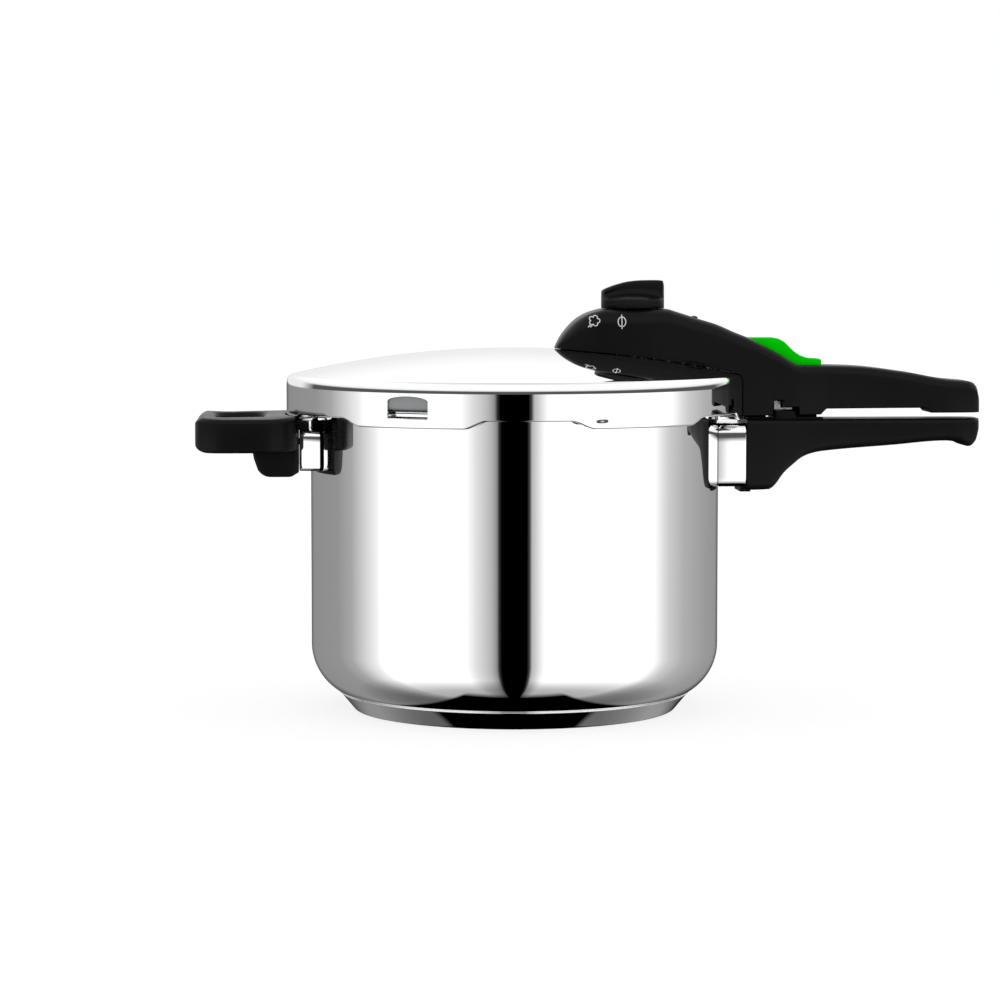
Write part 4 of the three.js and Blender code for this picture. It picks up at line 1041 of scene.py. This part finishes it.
def make_helper(sizes):
    bottom, top = RIM - 25.2, high("helper_handle", 2)
    root, wide, end = LID_RADIUS - 6.6, LID_RADIUS + 4, LID_RADIUS + 48.6
    half, root_half = 46.5, 38
    edge = sizes.edge / MM
    right = [(root, -root_half), (wide, -half), (end, -half)]
    plan = right + [(x, -y) for x, y in right[::-1]]
    handle = pillow("helper_grip", rounded(plan, 17, 10), "z", bottom, top, edge)
    sleeve_low = RIM - 35.5
    boss_side = [
        (root, sleeve_low - 0.5),
        *arc(root + 5.5, sleeve_low + 2, 5, 230, 270, 4),
        *arc(root + 15, sleeve_low + 5, 8, 270, 330, 6),
        (root + 24, sleeve_low + 7),
        (root + 25, bottom + 3),
        (root, bottom + 3),
    ]
    shield = block("shield", root - 5.5, root + 1, -29, 29, RIM - 13.7, TAB_EDGE - 1)
    united(handle, pillow("boss", boss_side, "y", -36, 36, 1.6, 4))
    reach, fall = end + 0.1, sizes.crown / MM
    side = [
        (root - 1, bottom - 20),
        (end - 9, bottom - 20),
        (end - 9, bottom),
        *arc(reach - 8, bottom + 5, 8, 270, 360, 10, 5),
        *arc(reach - 8, top - 5, 8, 0, 90, 10, 5.5),
        (root - 1, top + 0.5),
    ]
    common(handle, prism("side", side, "y", -60, 60))
    united(handle, shield)
    middle = (bottom + top) / 2
    for vertex in handle.data.vertices:
        x, y, z = vertex.co / MM
        lift = 2.6 - fall * (y / half) ** 2
        vertex.co.z += max(0, (z - middle) / (top - middle)) * lift * MM * (x > root + 1)
    slot_plan = rounded(box_outline(LID_RADIUS + 13.1, LID_RADIUS + 38.1, -30, 30), 9, 8)
    screw = RIM - 21.5
    seat = LID_RADIUS + 7.8
    carved(
        handle,
        flared_slot(slot_plan, bottom, top, 4.5),
        post(LID_RADIUS + 1, TAB_EDGE - 1, top + 1, (0, 0), 240),
        bar(SCREW_BORE, root - 1, seat + 1, screw),
        bar(HEAD_BORE, seat, LID_RADIUS + 17, screw),
    )
    finished(half_turn(handle), "pot", "black_moulding", ["helper_handle"], 30)


def flared_slot(outline, bottom, top, radius, steps=5):
    """A slot cutter that widens at both mouths, so that the slot's rims are rounded."""
    outline = anticlockwise(list(outline))
    rims = rounding(radius, bottom, top, steps)
    rings = [(radius + 1, bottom - 14), *rims, (radius + 1, top + 2)]
    points = [
        (u, v, depth) for grow, depth in rings for u, v in inset_outline(outline, -grow)
    ]
    return skinned("slot", points, len(outline))


def flame_guard(name, half, bottom, top, end, corner, flare, node, turn):
    wall = 1.2
    outline = rounded(box_outline(-half, half, bottom, top), corner, 8)
    inner = box_outline(-half + wall, half - wall, bottom + wall, top - wall)
    hollow = rounded(inner, corner - wall, 8)
    guard = pillow(name, outline, "x", POT_RADIUS * 0.5, end, 0.4, 3)
    carved(
        guard,
        prism("hollow", hollow, "x", 0, end + 1),
        post(POT_RADIUS + SEAT_GAP, bottom - 1, top + 1, (0, 0), SIDES),
    )
    for vertex in guard.data.vertices:
        vertex.co.y *= 1 + flare * (end * MM - vertex.co.x) / (end * MM - POT_RADIUS * MM)
    if turn:
        half_turn(guard)
    finished(guard, "pot", "polished_steel", [node], 40)


# ------------------------------------------------------------------------------
# Selector, slider and marks
# ------------------------------------------------------------------------------

FIN_TOP = [
    (-17.2, 9.2), (-16.4, 9.9), (-13, 11.5), (-8, 13.2), (-2, 14.6), (5, 15.2),
    (12, 15.3), (15.6, 15.1), (16.6, 14.2), (17.2, 12),
]


def make_knob(sizes):
    radius, floor, ring = 17.15, low("selector_knob", 2), 4.9
    fin = sizes.fin_half / MM
    stations = []
    for x in sorted({*np.linspace(-16.9, 16.9, 70), -17.1, -17.05, 17.05, 17.1}):
        chord = math.sqrt(radius**2 - x * x)
        crest = floor + eased(FIN_TOP, x)
        shoulder = floor + ring
        foot = min(fin + 1.6, chord * 0.93)
        waist = min(fin, chord * 0.88)
        flank = shoulder + 2.8 * max(0, 1 - (x / radius) ** 2)
        side = [
            (chord - 0.5, floor),
            (chord, floor + 0.5),
            (chord, shoulder - 0.7),
            (chord - min(0.7, chord * 0.03), shoulder),
            (foot + (chord - foot) * 0.45, shoulder + (flank - shoulder) * 0.55),
            (foot, flank),
            (waist + 0.4, flank + 1),
            (waist - 0.35, flank + (crest - flank) * 0.45),
            (waist + 0.1, crest - 1.6),
            (waist - 0.3, crest - 0.7),
            (waist - 1.1, crest - 0.12),
            (waist * 0.4, crest),
        ]
        section = side + [(-y, z) for y, z in side[::-1]]
        stations.append((x, section))
    knob = lofted("selector_grip", stations)
    shifted(knob, (KNOB_X, 0, 0))
    carved(
        knob,
        post(radius - 4, floor - 1, floor + 1.5, (KNOB_X, 0)),
        post(4.8, floor - 1, floor + 9, (KNOB_X, 0)),
    )
    finished(knob, "selector", "black_moulding", ["selector_knob"], 40)


def make_slider():
    half = 9
    body = pillow("lock_grip", placed(SLIDER_SIDE), "y", -half, half, 0.7, 4)
    lower = RIM + 0.5
    stem = block("stem", LID_RADIUS + 34.1, LID_RADIUS + 40.1, -3, 3, lower, RIM + 18.4)
    united(body, stem)
    carved(body, post(1.3, lower - 1, lower + 9, (LID_RADIUS + 37.1, 0)))
    finished(body, "lock", "slider_green", ["lock_slider"], 30)


def stroke_mark(name, strokes, width, surface, body):
    """Printed strokes [(x, z), ...] laid on a piece's front, as thin raised ribbons."""
    graph = BVHTree.FromObject(surface, bpy.context.evaluated_depsgraph_get())
    mesh = bmesh.new()
    for path in strokes:
        points = np.array(path, float)
        ahead = np.gradient(points, axis=0)
        ahead /= np.maximum(np.linalg.norm(ahead, axis=1), 1e-9)[:, None]
        normal = np.stack([-ahead[:, 1], ahead[:, 0]], axis=1) * width / 2
        rows = []
        for side in (points - normal, points + normal):
            row = []
            for x, z in side:
                start = Vector((x, -60, z)) * MM
                row.append(graph.ray_cast(start, Vector((0, 1, 0)))[0])
            rows.append(row)
        lift, sink = Vector((0, -0.06, 0)) * MM, Vector((0, 0.1, 0)) * MM
        edges = ((rows[0], lift), (rows[1], lift), (rows[1], sink), (rows[0], sink))
        loops = [[mesh.verts.new(p + step) for p in row] for row, step in edges]
        last = len(points) - 1
        for i in range(last):
            for k in range(4):
                a, b = loops[k], loops[(k + 1) % 4]
                mesh.faces.new((a[i], a[i + 1], b[i + 1], b[i]))
        mesh.faces.new([loop[0] for loop in loops])
        mesh.faces.new([loop[last] for loop in loops][::-1])
    bmesh.ops.recalc_face_normals(mesh, faces=mesh.faces)
    data = bpy.data.meshes.new(name)
    mesh.to_mesh(data)
    mesh.free()
    finished(link(name, data), body, "mark_white")


def make_marks(cover):
    """Generic signs under the knob: a puff of steam, and a ring with a bar."""
    height = RIM + 43.6
    steam_x, ring_x = LID_RADIUS - 82, LID_RADIUS - 67.3
    ring = [(ring_x + 0.8 * x, z) for x, z in arc(0, height, 2.6, 0, 360, 28)]
    bar_line = [(ring_x, height - 3.9 + 0.6 * i) for i in range(14)]
    stroke_mark("mark_ring", [ring, bar_line], 0.5, cover, "lid")
    puff = []
    for i in range(61):
        turn = math.radians(6 * i)
        reach = 1.85 + 1.05 * abs(math.cos(2.5 * turn)) ** 0.7
        x, z = reach * math.cos(turn), reach * math.sin(turn)
        puff.append((steam_x + x, height + 0.6 + z))
    jets = [
        [(steam_x - 2.9 + 0.35 * i + k, height - 2.9 + 0.35 * i) for i in range(5)]
        for k in (-0.5, 0.6)
    ]
    stroke_mark("mark_steam", [puff, *jets], 0.5, cover, "lid")


# ------------------------------------------------------------------------------
# Valves, springs and screws
# ------------------------------------------------------------------------------


def spring_tree():
    """Geometry Nodes for a coil spring of round wire."""
    sizes = ("Radius", "Wire", "Height", "Turns")
    nodes, source = new_tree("coil_spring", "Start", "Float", sizes)
    spiral = nodes.add(
        "GeometryNodeCurveSpiral",
        {
            "Resolution": 28,
            "Rotations": source["Turns"],
            "Start Radius": source["Radius"],
            "End Radius": source["Radius"],
            "Height": source["Height"],
        },
    ).outputs[0]
    swept = swept_along(nodes, spiral, 10, source["Wire"])
    return end_tree(nodes, swept, source["Material"])


def swept_along(nodes, path, sides, radius):
    """A round or many-sided wire that follows a path."""
    ring = {"Resolution": sides, "Radius": radius}
    wire = nodes.add("GeometryNodeCurvePrimitiveCircle", ring).outputs[0]
    run = {"Curve": path, "Profile Curve": wire, "Fill Caps": True}
    return nodes.add("GeometryNodeCurveToMesh", run).outputs[0]


def make_spring(node, body, turns=5):
    wire, radius = 0.5, 3.2
    bottom, top = low(node, 2) + wire, high(node, 2) - wire
    centre = (low(node, 0) + high(node, 0)) / 2
    blank = from_arrays(node + "_coil", [(0, 0, 0)], [])
    coil = with_tree(
        blank,
        tree("coil_spring", spring_tree),
        "satin_steel",
        radius=radius * MM,
        wire=wire * MM,
        height=(top - bottom) * MM,
        turns=float(turns),
    )
    shifted(coil, (KNOB_X if abs(centre - KNOB_X) < 3 else SAFETY_X, 0, bottom))
    finished(coil, body, "satin_steel", [node], 60)
    return coil


def screw_tree():
    """Geometry Nodes for a cheese-head screw with a rolled thread, standing on its head."""
    sizes = ("Shank", "Head", "Head height", "Length")
    nodes, source = new_tree("threaded_screw", "Start", "Float", sizes)
    links = nodes.tree.links
    width, thick, length_in = (source[n] for n in ("Head", "Head height", "Length"))

    def times(value, share):
        return nodes.math("MULTIPLY", value, share)

    def raised_by(piece, rise):
        lift = nodes.add("ShaderNodeCombineXYZ", {2: rise}).outputs[0]
        move = {"Geometry": piece, "Translation": lift}
        return nodes.add("GeometryNodeTransform", move).outputs[0]

    def cylinder(radius, depth, rise, sides=32):
        size = {"Vertices": sides, "Radius": radius, "Depth": depth}
        piece = nodes.add("GeometryNodeMeshCylinder", size).outputs["Mesh"]
        return raised_by(piece, rise)

    head = cylinder(width, thick, times(thick, 0.5))
    reach = nodes.math("ADD", length_in, thick)
    core = times(source["Shank"], 0.8)
    depth = nodes.math("ADD", length_in, times(thick, 0.2))
    shank = cylinder(core, depth, nodes.math("SUBTRACT", reach, times(depth, 0.5)))
    drive = cylinder(times(width, 0.5), times(thick, 1.1), 0.0, 6)
    pitch = times(source["Shank"], 0.45)
    run = nodes.math("SUBTRACT", length_in, pitch)
    spiral = nodes.add(
        "GeometryNodeCurveSpiral",
        {
            "Resolution": 20,
            "Rotations": nodes.math("DIVIDE", run, pitch),
            "Start Radius": core,
            "End Radius": core,
            "Height": run,
        },
    ).outputs[0]
    thread = swept_along(nodes, spiral, 3, times(source["Shank"], 0.19))
    raised = raised_by(thread, nodes.math("ADD", thick, pitch))
    cut = nodes.add("GeometryNodeMeshBoolean", operation="DIFFERENCE", solver="EXACT")
    links.new(head, cut.inputs["Mesh 1"])
    links.new(drive, cut.inputs["Mesh 2"])
    solid = nodes.add("GeometryNodeMeshBoolean", operation="UNION", solver="EXACT")
    links.new(cut.outputs[0], solid.inputs["Mesh 2"])
    links.new(shank, solid.inputs["Mesh 2"])
    joined = nodes.add("GeometryNodeJoinGeometry")
    links.new(solid.outputs[0], joined.inputs[0])
    links.new(raised, joined.inputs[0])
    return end_tree(nodes, joined.outputs[0], source["Material"])


# Turn that points a screw's tip along a direction.
TIPS = {"+z": (0, "X"), "-z": (180, "X"), "+x": (90, "Y"), "-x": (-90, "Y")}


def make_screw(node, body, shank, head, head_height, direction):
    """A screw in the place of its node. direction is the way its tip points."""
    lows = [low(node, axis) for axis in range(3)]
    highs = [high(node, axis) for axis in range(3)]
    axis = "xyz".index(direction[1])
    span = highs[axis] - lows[axis]
    blank = from_arrays(node + "_screw", [(0, 0, 0)], [])
    screw = with_tree(
        blank,
        tree("threaded_screw", screw_tree),
        "satin_steel",
        shank=shank * MM,
        head=head * MM,
        head_height=head_height * MM,
        length=(span - head_height) * MM,
    )
    degrees, about = TIPS[direction]
    screw.data.transform(Matrix.Rotation(math.radians(degrees), 4, about))
    place = [(a + b) / 2 for a, b in zip(lows, highs)]
    place[axis] = lows[axis] if direction[0] == "+" else highs[axis]
    shifted(screw, place)
    finished(screw, body, "satin_steel", [node], 40)


def bevelled(inner, outer, bottom, top, edge=0.4):
    """Ring section with its outer edges bevelled."""
    return [
        (inner, bottom),
        (outer - edge, bottom),
        (outer, bottom + edge),
        (outer, top - edge),
        (outer - edge, top),
        (inner, top),
    ]


def make_valve_body(name, node, x, sizes, radii, floor):
    """A valve's body through the dome: a bored shank, a flange and a barrel."""
    flange, shank, bore, chamber, barrel = radii
    seat = dome_height(sizes, x)
    chamber_floor = seat + floor
    rest = dome_height(sizes, x - flange) + SEAT_GAP
    bottom, top = low(node, 2), high(node, 2)
    section = [
        (bore, bottom),
        (shank - 0.5, bottom),
        (shank, bottom + 0.5),
        (shank, rest),
        (flange - 0.3, rest),
        (flange, rest + 0.3),
        (flange, seat + 3.2),
        (flange - 0.3, seat + 3.5),
        (barrel, seat + 3.5),
        (barrel, top - 0.5),
        (barrel - 0.5, top),
        (chamber, top),
        (chamber, chamber_floor),
        (bore, chamber_floor),
    ]
    turned_on(name, section, "lid", "valve_brass", [node], x)


def make_nut(node, x, radius, shank, sizes):
    bottom = low(node, 2)
    top = dome_height(sizes, x + radius) - sizes.wall / MM - SEAT_GAP
    section = bevelled(shank + SEAT_GAP, radius, bottom, top, 0.5)
    turned_on(node + "_hex", section, "lid", "satin_steel", [node], x, 6, 20)


def make_piston(name, node, x, body, head, tip, stem):
    base, top = low(node, 2), high(node, 2)
    face = base + 2
    section = [
        (0, base),
        (tip * 0.5, base),
        (tip, base + 1.2),
        (tip, face),
        (head - 0.3, face),
        (head, face + 0.3),
        (head, face + 1.9),
        (head - 0.3, face + 2.2),
        (stem, face + 2.2),
        (stem, top - 0.4),
        (stem - 0.4, top),
        (0, top),
    ]
    turned_on(name, section, body, "valve_brass", [node], x)


def make_valves(sizes):
    for name, node, x, radii, floor in (
        ("regulator_barrel", "regulator_body", KNOB_X, (9, 5, 2.2, 4.8, 6.5), 5),
        ("safety_barrel", "safety_valve_body", SAFETY_X, (7.5, 4.6, 1.8, 4.4, 6), 5),
        ("pin_guide", "indicator_guide", PIN_X, (6, 4, 2, 2, 4.6), 0),
    ):
        make_valve_body(name, node, x, sizes, radii, floor)
    make_nut("regulator_nut", KNOB_X, 8.5, 5, sizes)
    make_nut("safety_valve_nut", SAFETY_X, 8, 4.6, sizes)
    make_nut("indicator_nut", PIN_X, 6.8, 4, sizes)
    make_piston("regulator_plug", "regulator_piston", KNOB_X, "regulator", 4.4, 1.9, 1.5)
    make_piston("safety_plug", "safety_plunger", SAFETY_X, "safety", 4, 1.5, 1.5)
    cap = bevelled(1.9, 6, low("safety_cap", 2), high("safety_cap", 2))
    turned_on("safety_lid", cap, "lid", "valve_brass", ["safety_cap"], SAFETY_X)


def make_selector_shaft():
    base, top = low("selector_stem", 2), high("selector_stem", 2)
    shaft = [
        (0, base),
        (6.1, base),
        (6.5, base + 0.4),
        (6.5, base + 2.6),
        (6.1, base + 3),
        (4.5, base + 3),
        (4.5, top - 0.6),
        (3.9, top),
        (0, top),
    ]
    node = "selector_stem"
    turned_on("selector_shaft", shaft, "selector", "valve_brass", [node], KNOB_X)
    node = "selector_washer"
    washer = bevelled(4.8, 8, low(node, 2), high(node, 2), 0.2)
    turned_on("selector_ring", washer, "selector", "satin_steel", [node], KNOB_X)


def make_indicator():
    node = "indicator_pin"
    base, top = low(node, 2), high(node, 2)
    shoulder = top - 17.95
    pin = [
        (0, base),
        (2.6, base),
        (3, base + 0.4),
        (3, base + 1.6),
        (2.6, base + 2),
        (1.6, base + 2),
        (1.6, shoulder),
        (2.1, shoulder),
        *arc(0, top - 1.2, 2.1, 0, 90, 6, 1.2),
    ]
    turned_on("pressure_pin", pin, "indicator", "indicator_red", [node], PIN_X)
    node = "indicator_seal"
    base, top = low(node, 2), high(node, 2)
    middle, thick = (1.9 + 3.2) / 2, (top - base) / 2
    section = arc(middle, base + thick, 0.65, 0, 360, 16, thick)[:-1]
    turned_on("pin_seal", section, "indicator", "seal_rubber", [node], PIN_X)


def dress_remaining():
    """Gives each CAD node that still shows the procedural finish of its slot."""
    slots = {row["node"]: row["material_slot"] for row in frame["record"]["subparts"]}
    for name, node in frame["nodes"].items():
        if not node.hide_render:
            node.data.materials.clear()
            node.data.materials.append(material(slots[name]))


# ------------------------------------------------------------------------------
# Stage
# ------------------------------------------------------------------------------

LENS, SENSOR = 115.71, 36  # in millimetres
CAMERA_PLACE = (-0.1129, -1.7464, 0.248)  # in metres
CAMERA_HEADING, CAMERA_PITCH = math.radians(86.56), math.radians(4.393)
FLOOR_HALF, FLOOR_DROP = 6000, 0.2

VIEW_TURN = math.radians(3.7)  # turn of the camera's side of the room about the pot
# Brightness of the room: by degrees round it from its front, up from the horizon, and
# down from it.
WALLS = [
    (-176, 0.02), (-158, 0.27), (-118, 0.3), (-104, 0.4), (-96, 0.58), (-84, 0.9),
    (-78, 1.2), (-29, 1.2), (-21, 0.78), (-13, 0.5), (-9.5, 0.27), (-8.3, 0.0),
    (8.3, 0.0), (9.5, 0.5), (11.5, 0.62), (18, 1.2), (82, 1.2), (92, 0.76), (97, 0.62),
    (110, 0.45), (125, 0.38), (140, 0.33), (158, 0.3), (172, 0.02),
]
SKY = [(0, 0.86), (9, 0.88), (20, 1.05), (30, 1.15), (45, 1.15), (60, 0.88), (90, 0.66)]
HORIZON = [(0, 0.1), (8, 0.1), (12, 1.0), (90, 1.0)]
# Painted shade: the floor's shadow round the pot, darker the steeper below the horizon. The
# steel reflects it in place of the floor.
PAINTED_FLOOR_SHADE = [(0, 1.0), (36, 1.0), (48, 0.62), (57, 0.42), (70, 0.34), (90, 0.28)]


def make_camera():
    data = bpy.data.cameras.new("camera")
    data.lens, data.sensor_width = LENS, SENSOR
    data.clip_end = 50
    camera = bpy.data.objects.new("camera", data)
    bpy.context.scene.collection.objects.link(camera)
    camera.location = CAMERA_PLACE
    level = math.cos(CAMERA_PITCH)
    ahead, aside = math.sin(CAMERA_HEADING), math.cos(CAMERA_HEADING)
    look = Vector((aside * level, ahead * level, -math.sin(CAMERA_PITCH)))
    camera.rotation_euler = look.to_track_quat("-Z", "Y").to_euler()
    bpy.context.scene.camera = camera


def make_floor():
    corners = box_outline(-FLOOR_HALF, FLOOR_HALF, -FLOOR_HALF, FLOOR_HALF)
    floor = from_arrays("floor", [(x, y, -FLOOR_DROP) for x, y in corners], [(0, 1, 2, 3)])
    paint = bpy.data.materials.new("pale_floor")
    paint.use_nodes = True
    paint.node_tree.nodes.clear()
    nodes = Nodes(paint.node_tree)
    matt = nodes.add("ShaderNodeBsdfDiffuse", {"Color": (0.32, 0.32, 0.32, 1)}).outputs[0]
    glow = nodes.add("ShaderNodeEmission", {"Strength": 0.72}).outputs[0]
    lit = nodes.add("ShaderNodeAddShader", {0: matt, 1: glow}).outputs[0]
    nodes.add("ShaderNodeOutputMaterial", {"Surface": lit})
    floor.data.materials.append(paint)
    floor.visible_glossy = False


def make_studio():
    """White walls with a dark gap in front, a grey back, and below the horizon a painted
    shadow of the floor round and under the pot.
    """
    world = bpy.data.worlds.new("studio")
    world.use_nodes = True
    world.node_tree.nodes.clear()
    bpy.context.scene.world = world
    nodes = Nodes(world.node_tree)
    way = nodes.add("ShaderNodeTexCoord").outputs["Generated"]
    turn = {"Vector": way, "Rotation": (0, 0, VIEW_TURN)}
    facing = nodes.add("ShaderNodeMapping", turn).outputs[0]
    parts = nodes.add("ShaderNodeSeparateXYZ", {0: facing}).outputs
    front = nodes.math("MULTIPLY", parts[1], -1.0)
    azimuth = nodes.math("ARCTAN2", parts[0], front)
    round_place = nodes.math("ADD", nodes.math("DIVIDE", azimuth, 2 * math.pi), 0.5)

    walls = nodes.ramp(round_place, [(0.5 + place / 360, shade) for place, shade in WALLS])
    elevation = nodes.math("DEGREES", nodes.math("ARCSINE", parts[2]))
    rise = nodes.math("DIVIDE", elevation, 90.0)
    sky = nodes.ramp(rise, [(place / 90, shade) for place, shade in SKY])
    strip = nodes.ramp(rise, [(place / 90, shade) for place, shade in HORIZON])
    sky = nodes.mix(nodes.between(parts[1], 0.7, 0.5), sky, strip, "MULTIPLY")
    fall = nodes.math("MULTIPLY", rise, -1.0)
    # Painted shadow of the floor round the pot, by depth below the horizon
    floor_shade = nodes.ramp(fall, [(place / 90, shade) for place, shade in PAINTED_FLOOR_SHADE])
    below = nodes.mix(1.0, walls, floor_shade, "MULTIPLY")
    # Painted shadow under the pot: black steeply below, where the steel's bottom corner
    # reflects the floor beneath it
    depth = nodes.math("MAXIMUM", nodes.math("MULTIPLY", parts[2], -1.0), 0.05)
    aside = nodes.math("ABSOLUTE", nodes.math("DIVIDE", parts[0], depth))
    behind = nodes.math("DIVIDE", parts[1], depth)
    shade_lane, begun = nodes.between(aside, 0.38, 0.34), nodes.between(behind, -0.4, -0.2)
    below = nodes.mix(nodes.math("MULTIPLY", shade_lane, begun), below, (0, 0, 0, 1))
    room = nodes.mix(nodes.between(elevation, -1.0, 0.0), below, sky)
    mirrored = nodes.add("ShaderNodeLightPath").outputs["Is Glossy Ray"]
    shown = nodes.mix(mirrored, (1, 1, 1, 1), room)
    light = nodes.add("ShaderNodeBackground", {"Color": shown, "Strength": 1.0}).outputs[0]
    nodes.add("ShaderNodeOutputWorld", {"Surface": light})


# ------------------------------------------------------------------------------
# Operators
# ------------------------------------------------------------------------------


class COOKER_OT_finishes(bpy.types.Operator):
    """Make the metals, mouldings and rubber"""

    bl_idname = "cooker.finishes"
    bl_label = "Finishes"

    def execute(self, context):
        make_materials(context.scene.cooker_finishes)
        return {"FINISHED"}


class COOKER_OT_pot(bpy.types.Operator):
    """Make the pot with its base"""

    bl_idname = "cooker.pot"
    bl_label = "Pot and base"

    def execute(self, context):
        make_pot(context.scene.cooker_pot)
        make_base(context.scene.cooker_pot)
        return {"FINISHED"}


class COOKER_OT_lid(bpy.types.Operator):
    """Make the lid with its sealing ring"""

    bl_idname = "cooker.lid"
    bl_label = "Lid and seal"

    def execute(self, context):
        make_lid(context.scene.cooker_lid)
        make_gasket(context.scene.cooker_lid)
        return {"FINISHED"}


class COOKER_OT_cover(bpy.types.Operator):
    """Make the valve cover with its grip and its printed signs"""

    bl_idname = "cooker.cover"
    bl_label = "Cover and grip"

    def execute(self, context):
        scene = context.scene
        cover = make_cover(scene.cooker_lid, scene.cooker_mouldings)
        make_insert()
        make_marks(cover)
        return {"FINISHED"}


class COOKER_OT_handles(bpy.types.Operator):
    """Make the pot's two handles with their flame guards"""

    bl_idname = "cooker.handles"
    bl_label = "Pot handles"

    def execute(self, context):
        make_pot_handle()
        make_helper(context.scene.cooker_mouldings)
        flame_guard(
            "long_guard",
            half=20,
            bottom=RIM - 46,
            top=RIM - 11.5,
            end=LID_RADIUS + 0.6,
            corner=6,
            flare=0,
            node="pot_handle_sleeve",
            turn=False,
        )
        flame_guard(
            "helper_guard",
            half=33,
            bottom=RIM - 35.5,
            top=RIM - 14,
            end=LID_RADIUS - 6.9,
            corner=3.5,
            flare=0.05,
            node="helper_sleeve",
            turn=True,
        )
        return {"FINISHED"}


class COOKER_OT_controls(bpy.types.Operator):
    """Make the selector knob, its shaft, the slider and the pressure pin"""

    bl_idname = "cooker.controls"
    bl_label = "Knob, slider and pin"

    def execute(self, context):
        make_knob(context.scene.cooker_mouldings)
        make_selector_shaft()
        make_slider()
        make_indicator()
        return {"FINISHED"}


class COOKER_OT_valves(bpy.types.Operator):
    """Make the valves with their springs and nuts"""

    bl_idname = "cooker.valves"
    bl_label = "Valves and springs"

    def execute(self, context):
        make_valves(context.scene.cooker_lid)
        regulator = make_spring("regulator_spring", "regulator")
        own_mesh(regulator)
        safety = make_spring("safety_spring", "safety", 4)
        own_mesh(safety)
        return {"FINISHED"}


class COOKER_OT_screws(bpy.types.Operator):
    """Make the screws"""

    bl_idname = "cooker.screws"
    bl_label = "Screws"

    def execute(self, context):
        make_screw("pot_handle_screw", "pot", 2, 3.8, 3, "-x")
        make_screw("helper_screw", "pot", 2, 3.8, 3, "+x")
        make_screw("handle_screw_rear", "lid", 2, 3.8, 3, "+z")
        make_screw("handle_screw_front", "lid", 2, 3.8, 3, "+z")
        make_screw("slider_screw", "lock", 1, 2.4, 1.2, "+z")
        make_screw("catch_screw", "pot", 0.8, 1.8, 0.5, "-z")
        return {"FINISHED"}


class COOKER_OT_brackets(bpy.types.Operator):
    """Finish the pieces that keep their frame shapes"""

    bl_idname = "cooker.brackets"
    bl_label = "Brackets and bolt"

    def execute(self, context):
        dress_remaining()
        return {"FINISHED"}


class COOKER_OT_stage(bpy.types.Operator):
    """Set the camera, the floor and the studio light"""

    bl_idname = "cooker.stage"
    bl_label = "Stage"

    def execute(self, context):
        context.scene.view_settings.view_transform = "Standard"
        make_camera()
        make_floor()
        make_studio()
        return {"FINISHED"}


class COOKER_PT_panel(bpy.types.Panel):
    """The pieces and sizes of the cooker"""

    bl_idname = "COOKER_PT_panel"
    bl_label = "Pressure Cooker"
    bl_space_type = "VIEW_3D"
    bl_region_type = "UI"
    bl_category = "Cooker"

    def draw(self, context):
        for name, group in GROUPS.items():
            box = self.layout.box()
            for prop in group.__annotations__:
                box.prop(getattr(context.scene, name), prop)
        for operator in OPERATORS:
            self.layout.operator(operator.bl_idname)


GROUPS = {
    "cooker_pot": PotSizes,
    "cooker_lid": LidSizes,
    "cooker_mouldings": MouldingSizes,
    "cooker_finishes": Finishes,
}
OPERATORS = (
    COOKER_OT_stage,
    COOKER_OT_finishes,
    COOKER_OT_pot,
    COOKER_OT_lid,
    COOKER_OT_cover,
    COOKER_OT_handles,
    COOKER_OT_controls,
    COOKER_OT_valves,
    COOKER_OT_screws,
    COOKER_OT_brackets,
)


def register():
    for item in (*GROUPS.values(), *OPERATORS, COOKER_PT_panel):
        bpy.utils.register_class(item)
    for name, group in GROUPS.items():
        setattr(bpy.types.Scene, name, PointerProperty(type=group))


def unregister():
    for name in GROUPS:
        delattr(bpy.types.Scene, name)
    for item in reversed((*GROUPS.values(), *OPERATORS, COOKER_PT_panel)):
        bpy.utils.unregister_class(item)


def main():
    register()
    for operator in OPERATORS:
        group, action = operator.bl_idname.split(".")
        getattr(getattr(bpy.ops, group), action)()


if __name__ == "__main__":
    main()
